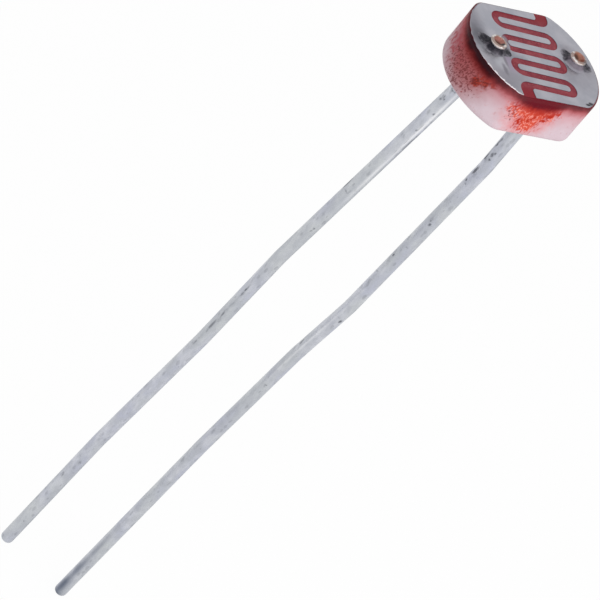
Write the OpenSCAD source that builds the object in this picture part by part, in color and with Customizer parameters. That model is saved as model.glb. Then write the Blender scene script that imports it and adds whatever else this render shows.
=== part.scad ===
// Photoresistor: a ceramic disc with two flats, a photoconductor film, two interleaved metal combs and two wire leads.
// Millimetres. The origin is the centre of the underside, +Z points out of the light-sensing face, +X runs
// from the left lead to the right lead, and +Y points to the far flat, to which the leads lean.

/* [Body] */
// Diameter over the round sides
body_d = 5.1; // [4.6:0.05:6.5]
// Width over the two flats
body_flats = 4.2; // [4:0.05:4.5]
// Depth by which the corners between the flats and the round sides are taken off
corner_cut = 0.04; // [0.02:0.005:0.08]
// Height of the ceramic
ceramic_h = 1.67; // [1:0.01:3]
// Radius of the rounded bottom edge
bottom_edge_r = 0.22; // [0.1:0.01:0.4]
// Chamfer round the top of the ceramic, both ways
rim_chamfer = 0.1; // [0.06:0.01:0.2]

/* [Photoconductor] */
// Thickness of the film on top of the ceramic
layer_t = 0.05; // [0.03:0.01:0.1]
// Radius of the film's top edge, where the bare margin round the metal ends
layer_edge_r = 0.055; // [0.03:0.005:0.1]

/* [Metal film] */
// Thickness of the metal film
film_t = 0.02; // [0.01:0.005:0.05]
// Bare margin between the film's outline and the side of the body
film_margin = 0.06; // [0.05:0.005:0.15]
// Number of straight runs of the bare track, an odd number
track_runs = 7; // [3:2:7]
// Distance between neighbouring runs
track_pitch = 0.525; // [0.45:0.005:0.58]
// Width of the bare track
track_w = 0.26; // [0.18:0.01:0.34]
// Half the length of the meander, to the outside of its turns
track_half = 1.25; // [1.1:0.01:1.35]
// Turn of the meander against the flats, in degrees
track_turn = -2.4; // [-5:0.1:5]
// Shift of the meander towards the far flat
track_shift = 0.05; // [-0.05:0.01:0.08]
// Distance from the middle to where each end of the track turns to its flat
track_end_x = 0.76; // [0.5:0.01:0.9]
// Width of the track's ends
track_end_w = 0.51; // [0.46:0.01:0.6]
// Radius of the outer corner at the track's ends
track_end_r = 0.44; // [0.3:0.01:0.45]
// Radius of the metal's inner corner at the track's ends
track_inner_r = 0.13; // [0.06:0.01:0.18]

/* [Leads] */
// Distance between the leads
lead_pitch = 3.4; // [3.3:0.05:3.6]
// Diameter of the wire
wire_d = 0.5; // [0.4:0.01:0.6]
// Clearance round the wire in its hole
hole_clearance = 0.08; // [0.06:0.01:0.12]
// Height of the stub above the metal film
stub_h = 0.28; // [0.15:0.01:0.5]
// Diameter of the head that is upset on the stub
head_d = 0.6; // [0.56:0.01:0.64]
// Height of the head
head_h = 0.1; // [0.08:0.01:0.14]
// Radius of the head's upper and lower edges
head_edge_r = 0.035; // [0.02:0.005:0.04]
// Diameter of the dimple in the head
dimple_d = 0.42; // [0.3:0.01:0.46]
// Depth of the dimple
dimple_depth = 0.09; // [0.03:0.01:0.12]
// Length of the left lead below the underside, along the wire
left_len = 29.3; // [24:0.1:40]
// Length of the right lead below the underside, along the wire
right_len = 31.3; // [24:0.1:40]
// Radius of each bend, to the middle of the wire
bend_r = 1.6; // [1:0.1:3]
// Loss of diameter where the wire is drawn round a bend
bend_thinning = 0.004; // [0.003:0.001:0.01]
// Distance of each bend of the left lead below the underside, along the wire; below zero it lies inside the hole
left_bend_at = [-0.3, 10.7, 15.7, 22.6];
// Turn of each bend of the left lead towards the far flat, in degrees
left_bend_turn = [7.5, -3, 2, -2.1];
// Distance of each bend of the right lead below the underside, along the wire
right_bend_at = [3.5, 11.7, 15, 21.3];
// Turn of each bend of the right lead towards the far flat, in degrees
right_bend_turn = [4.2, 4.5, -2.9, -1.4];
// Radius of the rounded tips
tip_r = 0.14; // [0.05:0.01:0.18]

/* [Contact paste] */
// Diameter of the collar of paste round each stub
paste_collar_d = 0.86; // [0.8:0.01:1]
// Height of the collar
paste_collar_h = 0.16; // [0.06:0.01:0.17]
// Width of the collar's top ring round the wire
paste_ring_w = 0.03; // [0.01:0.01:0.06]
// Height of the flat smears beside the collar
paste_smear_h = 0.03; // [0.02:0.005:0.06]
// Offset along X of each smear from the left lead
left_smear_x = [-0.3, -0.12, 0.4, 0.44];
// Offset along Y of each smear from the left lead
left_smear_y = [0.3, -0.02, -0.15, 0.16];
// Radius of each smear by the left lead
left_smear_r = [0.27, 0.34, 0.22, 0.26];
// Offset along X of each smear from the right lead
right_smear_x = [-0.22, -0.06, 0.42, 0.42];
// Offset along Y of each smear from the right lead
right_smear_y = [0.38, -0.08, -0.1, 0.1];
// Radius of each smear by the right lead
right_smear_r = [0.21, 0.34, 0.24, 0.18];

/* [Hidden] */
$fn = 64;

body_r = body_d / 2;
wire_r = wire_d / 2;
hole_d = wire_d + 2 * hole_clearance;
layer_top = ceramic_h + layer_t;
face_z = layer_top + film_t;
stub_top = face_z + stub_h;

// Turn by which each bend laps into the straights beside it, in degrees
bend_lap = 1.5;
// Length by which a cutter reaches past what it cuts
past = 1;
// Share of a turn's radius by which the track's middle line runs into the turn
turn_share = 0.75;

// Where a flat would meet a round side, the turn of the narrow facet between them, and its distance from the middle.
corner_y = body_flats / 2;
corner_x = sqrt(pow(body_r, 2) - pow(corner_y, 2));
facet_turn = (90 - atan2(corner_y, corner_x)) / 2;
facet_half = corner_x * sin(facet_turn) + corner_y * cos(facet_turn) - corner_cut;

// Half of an outline from z0 to z1 that reaches out to half, with its lower corner rounded and its upper one
// rounded or chamfered.
module half_profile(half, z0, z1, lower_r = 0, upper_r = 0, chamfer = 0) {
    upper = max(upper_r, chamfer);
    translate([0, z0 + lower_r])
        square([half, z1 - upper - z0 - lower_r]);
    if (lower_r > 0) {
        translate([0, z0])
            square([half - lower_r, lower_r]);
        translate([half - lower_r, z0 + lower_r])
            quarter_disc(lower_r, 0, -1);
    }
    if (upper_r > 0) {
        translate([0, z1 - upper_r])
            square([half - upper_r, upper_r]);
        translate([half - upper_r, z1 - upper_r])
            quarter_disc(upper_r, 0, 0);
    }
    if (chamfer > 0)
        translate([0, z1 - chamfer])
            polygon([[0, 0], [half, 0], [half - chamfer, chamfer], [0, chamfer]]);
}

// The quarter of a disc that lies towards +X when across is 0, or -X when it is -1, and likewise up and down.
module quarter_disc(r, across, up) {
    intersection() {
        circle(r);
        translate([across * r, up * r])
            square(r);
    }
}

// A disc with two flats and narrow facets at their corners, from z0 to z1, with its lower edge rounded and its upper
// edge rounded or chamfered.
module flatted_disc(z0, z1, lower_r = 0, upper_r = 0, chamfer = 0) {
    intersection() {
        rotate_extrude()
            half_profile(body_r, z0, z1, lower_r, upper_r, chamfer);
        flat_pair(corner_y, z0, z1, lower_r, upper_r, chamfer);
        rotate(facet_turn)
            flat_pair(facet_half, z0, z1, lower_r, upper_r, chamfer);
        rotate(-facet_turn)
            flat_pair(facet_half, z0, z1, lower_r, upper_r, chamfer);
    }
}

// A bar along X between two flats at the given distance from the middle, with edges like those of half_profile.
module flat_pair(half, z0, z1, lower_r, upper_r, chamfer) {
    rotate([90, 0, 90])
        linear_extrude(2 * body_d, center = true)
            for (side = [0, 1])
                mirror([side, 0])
                    half_profile(half, z0, z1, lower_r, upper_r, chamfer);
}

// Stands its children at both lead positions.
module at_leads() {
    for (side = [-1, 1])
        translate([side * lead_pitch / 2, 0])
            children();
}

// The ceramic without its lead holes: straight sides, a rounded bottom edge and a chamfered rim.
module ceramic_blank() {
    flatted_disc(0, ceramic_h, lower_r = bottom_edge_r, chamfer = rim_chamfer);
}

module ceramic_base() {
    color("#d8c2c6")
        difference() {
            ceramic_blank();
            at_leads()
                translate([0, 0, -past])
                    cylinder(h = ceramic_h + 2 * past, d = hole_d);
        }
}

module photoconductor_layer() {
    color("#7a2a30")
        difference() {
            flatted_disc(ceramic_h - rim_chamfer, layer_top, upper_r = layer_edge_r);
            ceramic_blank();
            at_leads()
                cylinder(h = layer_top + past, d = hole_d);
        }
}

// Outline of the metal film, parallel to the outline of the body.
module film_outline() {
    intersection() {
        circle(body_r - film_margin);
        strip(corner_y - film_margin);
        rotate(facet_turn)
            strip(facet_half - film_margin);
        rotate(-facet_turn)
            strip(facet_half - film_margin);
    }
}

// A long strip along X that reaches out to half on both sides.
module strip(half) {
    square([2 * body_d, 2 * half], center = true);
}

// Number of the last run: the runs are counted from zero, and an even number of turns joins them.
last_run = 2 * round((track_runs - 1) / 2);
turn_x = track_half - track_pitch / 2 - track_w / 2;
reach = body_d;

// Place of a run across the face, counted from the far flat.
function run_y(i) = (last_run / 2 - i) * track_pitch;

// Bare track: straight runs, round turns at alternate sides, and an end that widens out to each flat.
module track() {
    for (i = [0 : last_run])
        translate([i == last_run ? -track_end_x : -turn_x, run_y(i) - track_w / 2])
            square([(i == 0 || i == last_run ? track_end_x : turn_x) + turn_x, track_w]);
    for (i = [0 : last_run - 1])
        translate([(i % 2 == 0 ? -1 : 1) * turn_x, run_y(i) - track_pitch / 2])
            track_turn_ring(i % 2 == 0 ? -1 : 0);
    for (half_turn = [0, 180])
        rotate(half_turn)
            translate([track_end_x, run_y(0) - track_w / 2])
                track_end();
}

// Half of a ring round the end of a finger, on its -X side when across is -1 and on its +X side when it is 0.
module track_turn_ring(across) {
    outer_r = (track_pitch + track_w) / 2;
    intersection() {
        difference() {
            circle(outer_r);
            circle((track_pitch - track_w) / 2);
        }
        translate([across * outer_r, -outer_r])
            square([outer_r, 2 * outer_r]);
    }
}

// End of the track, from the foot of its run's end: a wide strip to the flat with its outer corner rounded.
module track_end() {
    straight_w = track_end_w - track_end_r;
    square([straight_w, track_end_r]);
    translate([straight_w, track_end_r])
        quarter_disc(track_end_r, 0, -1);
    translate([0, track_end_r])
        square([track_end_w, reach]);
    translate([0, track_w])
        inner_corner();
}

// The bare corner left where the metal beside the track's end is rounded.
module inner_corner() {
    difference() {
        translate([-track_inner_r, 0])
            square(track_inner_r);
        translate([-track_inner_r, track_inner_r])
            circle(track_inner_r);
    }
}

// Middle line of the track from the far flat to the near flat, with square corners that stay inside its width.
function track_middle() = let (
    end_x = track_end_x + track_end_w / 2,
    side_x = turn_x + turn_share * track_pitch / 2
) concat(
    [[end_x, reach]],
    [for (i = [0 : last_run], leaving = [0, 1])
        let (side = (i + leaving) % 2 == 0 ? 1 : -1)
        [i == 0 && leaving == 0 ? end_x : i == last_run && leaving == 1 ? -end_x : side * side_x, run_y(i)]],
    [[-end_x, -reach]]
);

// Outline of one comb of the metal film, on the left when side is -1 and on the right when it is 1.
module comb(side) {
    difference() {
        film_outline();
        translate([0, track_shift])
            rotate(track_turn) {
                track();
                polygon(concat(track_middle(), [[-side * reach, -reach], [-side * reach, reach]]));
            }
        at_leads()
            circle(d = hole_d);
    }
}

module electrode(side) {
    translate([0, 0, layer_top])
        linear_extrude(film_t)
            comb(side);
}

module electrode_left() {
    color("#a9a9b2")
        electrode(-1);
}

module electrode_right() {
    color("#a9a9b2")
        electrode(1);
}

// Length of wire that a bend takes from the straight on each side of it.
function tangent(turn) = bend_r * tan(abs(turn) / 2);

// A bend of the wire from straight down towards +Y, or -Y for a negative turn. Its children go on from its end.
// The drawn wire is a little thinner round the bend, and laps into the straights at both ends.
module wire_bend(turn) {
    mirror([0, turn < 0 ? 1 : 0, 0])
        translate([0, bend_r, 0])
            rotate([0, 90, 0])
                rotate([0, 0, -90 - bend_lap])
                    rotate_extrude(angle = abs(turn) + 2 * bend_lap)
                        translate([bend_r, 0])
                            circle(d = wire_d - bend_thinning);
    translate([0, sign(turn) * bend_r * (1 - cos(turn)), -bend_r * sin(abs(turn))])
        rotate([turn, 0, 0])
            children();
}

// The wire below the first bend: straight stretches and bends in turn, then a stretch with a rounded tip.
module wire_run(bend_at, bend_turn, length, i = 0) {
    wire_bend(bend_turn[i]) {
        start = bend_at[i] + tangent(bend_turn[i]);
        if (i < len(bend_at) - 1) {
            stretch = bend_at[i + 1] - tangent(bend_turn[i + 1]) - start;
            translate([0, 0, -stretch]) {
                cylinder(h = stretch, d = wire_d);
                wire_run(bend_at, bend_turn, length, i + 1);
            }
        } else {
            rotate_extrude()
                half_profile(wire_r, start - length, 0, lower_r = tip_r);
        }
    }
}

// A whole lead at the middle of the part: the upset head with its dimple, the straight through the body, and the
// bends.
module lead(bend_at, bend_turn, length) {
    dimple_ball_r = (pow(dimple_d / 2, 2) + pow(dimple_depth, 2)) / (2 * dimple_depth);
    first_bend_z = tangent(bend_turn[0]) - bend_at[0];
    difference() {
        rotate_extrude() {
            half_profile(wire_r, first_bend_z, stub_top - head_h);
            half_profile(head_d / 2, stub_top - head_h, stub_top, head_edge_r, head_edge_r);
        }
        translate([0, 0, stub_top - dimple_depth + dimple_ball_r])
            sphere(dimple_ball_r);
    }
    translate([0, 0, first_bend_z])
        wire_run(bend_at, bend_turn, length);
}

module lead_left() {
    color("#bcbfca")
        translate([-lead_pitch / 2, 0, 0])
            lead(left_bend_at, left_bend_turn, left_len);
}

module lead_right() {
    color("#bcbfca")
        translate([lead_pitch / 2, 0, 0])
            lead(right_bend_at, right_bend_turn, right_len);
}

// A low pad of paste with a domed top and a straight side, which is as high as the metal film is thick.
module smear(r) {
    ball_r = (r * r + paste_smear_h * paste_smear_h) / (2 * paste_smear_h);
    rotate_extrude() {
        square([r, film_t]);
        translate([0, film_t])
            intersection() {
                translate([0, paste_smear_h - ball_r])
                    circle(ball_r);
                square([r, paste_smear_h]);
            }
    }
}

// Paste round the stub at x: a tapered collar with smears beside it. It lies on the combs, and fills the lead's hole
// and the bare track where it runs over them.
module contact_paste(x, smear_x, smear_y, smear_r) {
    difference() {
        translate([x, 0, layer_top]) {
            cylinder(h = film_t + paste_collar_h, d1 = paste_collar_d, d2 = wire_d + 2 * paste_ring_w);
            for (i = [0 : len(smear_r) - 1])
                translate([smear_x[i], smear_y[i], 0])
                    smear(smear_r[i]);
        }
        translate([x, 0, layer_top - past])
            cylinder(h = paste_collar_h + film_t + 2 * past, d = wire_d);
        for (side = [-1, 1])
            translate([0, 0, layer_top - past])
                linear_extrude(past + film_t)
                    comb(side);
    }
}

module contact_paste_left() {
    color("#4a4a52")
        contact_paste(-lead_pitch / 2, left_smear_x, left_smear_y, left_smear_r);
}

module contact_paste_right() {
    color("#4a4a52")
        contact_paste(lead_pitch / 2, right_smear_x, right_smear_y, right_smear_r);
}

ceramic_base();
photoconductor_layer();
electrode_left();
electrode_right();
lead_left();
lead_right();
contact_paste_left();
contact_paste_right();
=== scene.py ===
"""Looks of the photoresistor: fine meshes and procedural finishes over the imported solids.

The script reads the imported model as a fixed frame. Lengths in the classes are millimetres in that frame:
+Z out of the sensing face, +X from the left lead to the right one, +Y to the far flat.
"""

import logging
import math
from dataclasses import dataclass, field, fields
from enum import Enum
from typing import ClassVar

import bpy
import numpy as np
from mathutils import Euler, Matrix, Vector
from mathutils.geometry import delaunay_2d_cdt


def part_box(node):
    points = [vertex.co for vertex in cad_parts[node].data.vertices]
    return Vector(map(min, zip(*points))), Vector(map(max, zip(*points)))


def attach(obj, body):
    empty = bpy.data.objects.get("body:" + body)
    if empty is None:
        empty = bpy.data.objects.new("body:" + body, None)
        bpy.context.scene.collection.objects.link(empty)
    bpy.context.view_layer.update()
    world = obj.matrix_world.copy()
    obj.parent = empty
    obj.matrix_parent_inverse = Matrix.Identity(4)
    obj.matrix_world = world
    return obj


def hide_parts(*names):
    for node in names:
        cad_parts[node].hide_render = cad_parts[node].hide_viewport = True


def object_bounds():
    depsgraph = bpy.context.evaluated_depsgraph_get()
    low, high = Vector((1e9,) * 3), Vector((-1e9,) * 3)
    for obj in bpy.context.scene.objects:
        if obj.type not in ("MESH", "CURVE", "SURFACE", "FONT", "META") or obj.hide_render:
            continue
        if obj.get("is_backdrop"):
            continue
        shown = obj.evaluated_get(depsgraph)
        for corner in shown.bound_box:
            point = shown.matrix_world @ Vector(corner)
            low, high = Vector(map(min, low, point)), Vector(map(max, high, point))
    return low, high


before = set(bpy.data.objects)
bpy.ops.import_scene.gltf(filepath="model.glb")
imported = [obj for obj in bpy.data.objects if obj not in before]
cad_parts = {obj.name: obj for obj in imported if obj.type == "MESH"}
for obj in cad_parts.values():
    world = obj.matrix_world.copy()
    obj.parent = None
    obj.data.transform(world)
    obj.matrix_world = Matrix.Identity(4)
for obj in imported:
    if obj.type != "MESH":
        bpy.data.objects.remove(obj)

MM = 0.001
BODY = "root"
ORIGIN = (0.0, 0.0, 0.0)
EVEN = (1.0, 1.0, 1.0)
WHITE = (1.0, 1.0, 1.0, 1.0)
STREAK = (1.0, 1.0, 0.55)
SLANT = -0.45
DRAWN = (1.0, 1.0, 0.4)
FLAT = (1.0, 1.0, 0.0)
SAME_POINT = 1e-7
NO_AREA = 1e-6
PARALLEL = 1e-12

Point = tuple[float, float, float]
Colour = tuple[float, float, float, float]
Shades = tuple[Colour, Colour, Colour]
Piece = bpy.types.Object
Socket = bpy.types.NodeSocket
Feed = Socket | float | tuple

log = logging.getLogger("photoresistor")


def paint(red: int, green: int, blue: int) -> Colour:
    """Turns a colour as seen on a screen into the linear colour that shaders take.

    Args:
        red: Red, from 0 to 255.
        green: Green, from 0 to 255.
        blue: Blue, from 0 to 255.

    Returns:
        Linear red, green, blue and an alpha of 1.
    """
    knee, slope, offset, power = 0.04045, 12.92, 0.055, 2.4
    levels = np.array([red, green, blue]) / 255
    linear = np.where(levels <= knee, levels / slope, ((levels + offset) / (1 + offset)) ** power)
    return (*linear.tolist(), 1.0)


class Slot(Enum):
    """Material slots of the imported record."""

    CERAMIC = "ceramic"
    PHOTOCONDUCTOR = "photoconductor"
    METAL_FILM = "electrode_metal"
    WIRE = "tinned_wire"
    PASTE = "contact_paste"


class Side(Enum):
    """Left or right lead and comb, with the sign of its X."""

    LEFT = -1
    RIGHT = 1

    @property
    def word(self) -> str:
        """Name of the side as used in node and piece names."""
        return self.name.lower()


def arc(centre: tuple[float, float], radius: float, start: float, end: float, count: int) -> np.ndarray:
    """Points along an arc.

    Args:
        centre: Middle of the arc.
        radius: Radius of the arc.
        start: Angle of its first point, in degrees.
        end: Angle of its last point, in degrees.
        count: Number of points, both ends included.

    Returns:
        One point of X and Y in each row.
    """
    angles = np.radians(np.linspace(start, end, count))
    return np.column_stack([centre[0] + radius * np.cos(angles), centre[1] + radius * np.sin(angles)])


def rounded_steps(radius: float, count: int) -> list[tuple[float, float]]:
    """Steps round a quarter of an edge, from its lower end at the side to its upper end on top.

    Args:
        radius: Radius of the edge.
        count: Number of steps.

    Returns:
        Pairs of inset from the side and distance below the top.
    """
    turns = [math.pi / 2 * k / count for k in range(count + 1)]
    return [(radius * (1 - math.cos(turn)), radius * (1 - math.sin(turn))) for turn in turns]


@dataclass(frozen=True)
class FlattedOutline:
    """Outline of the body from above: two round sides, two flats and four softened corners."""

    radius: float
    half_flats: float
    corner_r: float
    round_points: int = 135
    flat_points: int = 71
    corner_points: int = 12

    def loop(self, inset: float) -> np.ndarray:
        """The outline, moved in by some distance, counter-clockwise from the right side.

        Args:
            inset: Distance to the full outline.

        Returns:
            One point of X and Y in each row, always as many.
        """
        radius, half, corner = self.radius - inset, self.half_flats - inset, self.corner_r - inset
        corner_y = half - corner
        corner_x = math.sqrt((radius - corner) ** 2 - corner_y**2)
        turn = math.degrees(math.atan2(corner_y, corner_x))
        side = arc((0.0, 0.0), radius, -turn, turn, self.round_points)
        bend = arc((corner_x, corner_y), corner, turn, 90, self.corner_points + 2)[1:]
        flat_x = np.linspace(corner_x, -corner_x, self.flat_points + 2)[1:-1]
        flat = np.column_stack([flat_x, np.full(self.flat_points, half)])
        other_bend = (bend * [-1, 1])[::-1]
        half_loop = np.vstack([side, bend, flat, other_bend])
        return np.vstack([half_loop, -half_loop])


@dataclass(frozen=True)
class PartSizes:
    """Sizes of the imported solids, and the few inner sizes that their boxes don't show."""

    body_r: float
    half_flats: float
    ceramic_top: float
    rim_foot: float
    layer_top: float
    film_top: float
    film_r: float
    head_r: float
    lead_x: float
    stub_top: float
    floor_z: float
    wire_r: float = 0.25
    hole_r: float = 0.33
    hole_points: int = 40
    corner_r: float = 0.6
    bottom_edge_r: float = 0.22
    layer_edge_r: float = 0.055

    @classmethod
    def from_frame(cls) -> "PartSizes":
        """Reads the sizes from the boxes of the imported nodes.

        Returns:
            The sizes of the part.
        """
        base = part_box("ceramic_base")[1] / MM
        layer_low, layer_high = (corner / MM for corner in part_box("photoconductor_layer"))
        film_low, film_high = (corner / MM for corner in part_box("electrode_left"))
        lead_low, lead_high = (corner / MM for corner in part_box("lead_right"))
        return cls(
            body_r=base.x,
            half_flats=base.y,
            ceramic_top=base.z,
            rim_foot=layer_low.z,
            layer_top=layer_high.z,
            film_top=film_high.z,
            film_r=-film_low.x,
            head_r=(lead_high.x - lead_low.x) / 2,
            lead_x=(lead_high.x + lead_low.x) / 2,
            stub_top=lead_high.z,
            floor_z=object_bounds()[0].z / MM,
        )

    @property
    def outline(self) -> FlattedOutline:
        """Outline of the body at its widest."""
        return FlattedOutline(self.body_r, self.half_flats, self.corner_r)

    @property
    def chamfer(self) -> float:
        """Inset of the ceramic's top, which is also the height of its chamfered rim."""
        return self.ceramic_top - self.rim_foot

    @property
    def film_margin(self) -> float:
        """Bare margin between the film and the side of the body."""
        return self.body_r - self.film_r

    def wire_x(self, side: Side) -> float:
        """X of the middle of a lead."""
        return side.value * self.lead_x

    def hole(self, side: Side, widening: float = 0.0) -> np.ndarray:
        """Loop of a lead's hole, counter-clockwise, with its radius widened."""
        last = 360 - 360 / self.hole_points
        return arc((self.wire_x(side), 0.0), self.hole_r + widening, 0, last, self.hole_points)


@dataclass(frozen=True)
class Unevenness:
    """A smooth, seeded unevenness over space: a sum of sine waves in random directions."""

    wavelength: float
    seed: int
    height: float = 1.0
    waves: int = 7
    shortest: float = 0.7
    longest: float = 1.5

    def at(self, points: np.ndarray, seed_step: int = 0) -> np.ndarray:
        """Gives the unevenness at some points.

        Args:
            points: One point in each row, in millimetres.
            seed_step: Added to the seed, so that like pieces differ.

        Returns:
            One value for each point, mostly between minus and plus the height.
        """
        draw = np.random.default_rng(self.seed + seed_step)
        total = np.zeros(len(points))
        for _ in range(self.waves):
            direction = draw.normal(size=points.shape[1])
            direction /= np.linalg.norm(direction)
            number = math.tau / (self.wavelength * draw.uniform(self.shortest, self.longest))
            total += np.sin(points @ direction * number + draw.uniform(0, math.tau))
        return self.height * total / math.sqrt(self.waves)


def enclosed(spots: np.ndarray, corners: np.ndarray, edges: list[tuple[int, int]]) -> np.ndarray:
    """Tells which spots lie inside closed outlines, by the number of edges beside each.

    Args:
        spots: X and Y of a spot in each row.
        corners: X and Y of the outlines' points.
        edges: Numbers of the two points of each edge.

    Returns:
        True for each spot inside.
    """
    inside = np.zeros(len(spots), dtype=bool)
    for a, b in edges:
        (ax, ay), (bx, by) = corners[a], corners[b]
        crosses = (ay > spots[:, 1]) != (by > spots[:, 1])
        if crosses.any():
            at = ax + (spots[:, 1] - ay) * (bx - ax) / (by - ay)
            inside ^= crosses & (spots[:, 0] < at)
    return inside


@dataclass
class MeshDraft:
    """Points and faces of one piece while it is being drawn, in millimetres."""

    points: list[Point] = field(default_factory=list)
    faces: list[tuple[int, ...]] = field(default_factory=list)
    materials: list[int] = field(default_factory=list)
    masks: dict[str, np.ndarray] = field(default_factory=dict)
    sharp_angle: float = 40.0

    def ring(self, loop: np.ndarray) -> list[int]:
        """Adds a row of points.

        Args:
            loop: One point in each row.

        Returns:
            The numbers of the new points, in the same order.
        """
        first = len(self.points)
        self.points.extend(map(tuple, loop.tolist()))
        return list(range(first, first + len(loop)))

    def level_ring(self, loop: np.ndarray, z: float) -> list[int]:
        """Adds a flat loop of X and Y at one height and gives its numbers."""
        return self.ring(np.column_stack([loop, np.full(len(loop), z)]))

    def face(self, corners: tuple[int, ...], material: int = 0) -> None:
        """Adds one face with the number of its material."""
        self.faces.append(corners)
        self.materials.append(material)

    def bridge(self, lower: list[int], upper: list[int], material: int = 0) -> None:
        """Joins two rings of as many points, both counter-clockwise from above, by quads that face out.

        Args:
            lower: Ring that lies below or outside.
            upper: Ring that lies above or inside.
            material: Number of the faces' material.
        """
        count = len(lower)
        for i in range(count):
            j = (i + 1) % count
            self.face((lower[i], lower[j], upper[j], upper[i]), material)

    def wall(self, rings: list[list[int]], rising: bool = True, material: int = 0) -> None:
        """Joins each ring to the next one.

        Args:
            rings: The rings, in order.
            rising: Whether each ring lies above or inside the one before it, and otherwise below or outside.
            material: Number of the faces' material.
        """
        for first, second in zip(rings, rings[1:]):
            lower, upper = (first, second) if rising else (second, first)
            self.bridge(lower, upper, material)

    def bore(self, levels: list[tuple[np.ndarray, float]]) -> tuple[list[int], list[int]]:
        """Adds the wall of a hole, which faces its middle.

        Args:
            levels: Loop of X and Y, and height, from the foot of the hole to its top.

        Returns:
            The rings at its foot and at its top.
        """
        rings = [self.level_ring(loop, z) for loop, z in levels]
        self.wall(rings, rising=False)
        return rings[0], rings[-1]

    def fan(self, ring: list[int], tip: Point, material: int = 0) -> None:
        """Closes a ring with a point in its middle.

        Args:
            ring: Ring that is counter-clockwise from outside.
            tip: The point.
            material: Number of the faces' material.
        """
        middle = self.ring(np.array([tip]))[0]
        for i, corner in enumerate(ring):
            self.face((corner, ring[(i + 1) % len(ring)], middle), material)

    def plate(self, loops: list[list[int]], faces_up: bool) -> None:
        """Fills the flat area inside the first loop and outside the other loops.

        Args:
            loops: Rings of point numbers: the outline, then its holes.
            faces_up: Whether the plate faces +Z, and otherwise -Z.
        """
        numbers = [n for loop in loops for n in loop]
        flat = np.array([self.points[n][:2] for n in numbers])
        edges = []
        first = 0
        for loop in loops:
            edges += [(first + i, first + (i + 1) % len(loop)) for i in range(len(loop))]
            first += len(loop)
        made = delaunay_2d_cdt([Vector(p) for p in flat.tolist()], edges, [], 0, SAME_POINT)
        sources = np.array([source[0] for source in made[3]])
        corners = sources[np.array(made[2])]
        sides = flat[corners[:, 1:]] - flat[corners[:, :1]]
        kept = enclosed(flat[corners].mean(axis=1), flat, edges) & (np.abs(np.linalg.det(sides)) > NO_AREA)
        for triangle in corners[kept].tolist():
            order = triangle if faces_up else triangle[::-1]
            self.face(tuple(numbers[k] for k in order))

    def make(self, name: str, node: str, slot: Slot) -> Piece:
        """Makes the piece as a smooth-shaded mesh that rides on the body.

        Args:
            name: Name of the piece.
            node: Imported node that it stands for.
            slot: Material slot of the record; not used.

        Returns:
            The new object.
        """
        mesh = bpy.data.meshes.new(name)
        mesh.from_pydata((np.array(self.points) * MM).tolist(), [], self.faces)
        mesh.polygons.foreach_set("use_smooth", [True] * len(self.faces))
        mesh.polygons.foreach_set("material_index", self.materials)
        for mask, values in self.masks.items():
            attribute = mesh.attributes.new(mask, "FLOAT", "POINT")
            attribute.data.foreach_set("value", values.astype(np.float32))
        mesh.validate()
        mesh.set_sharp_from_angle(angle=math.radians(self.sharp_angle))
        piece = bpy.data.objects.new(name, mesh)
        bpy.context.scene.collection.objects.link(piece)
        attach(piece, BODY)
        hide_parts(node)
        return piece


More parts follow.
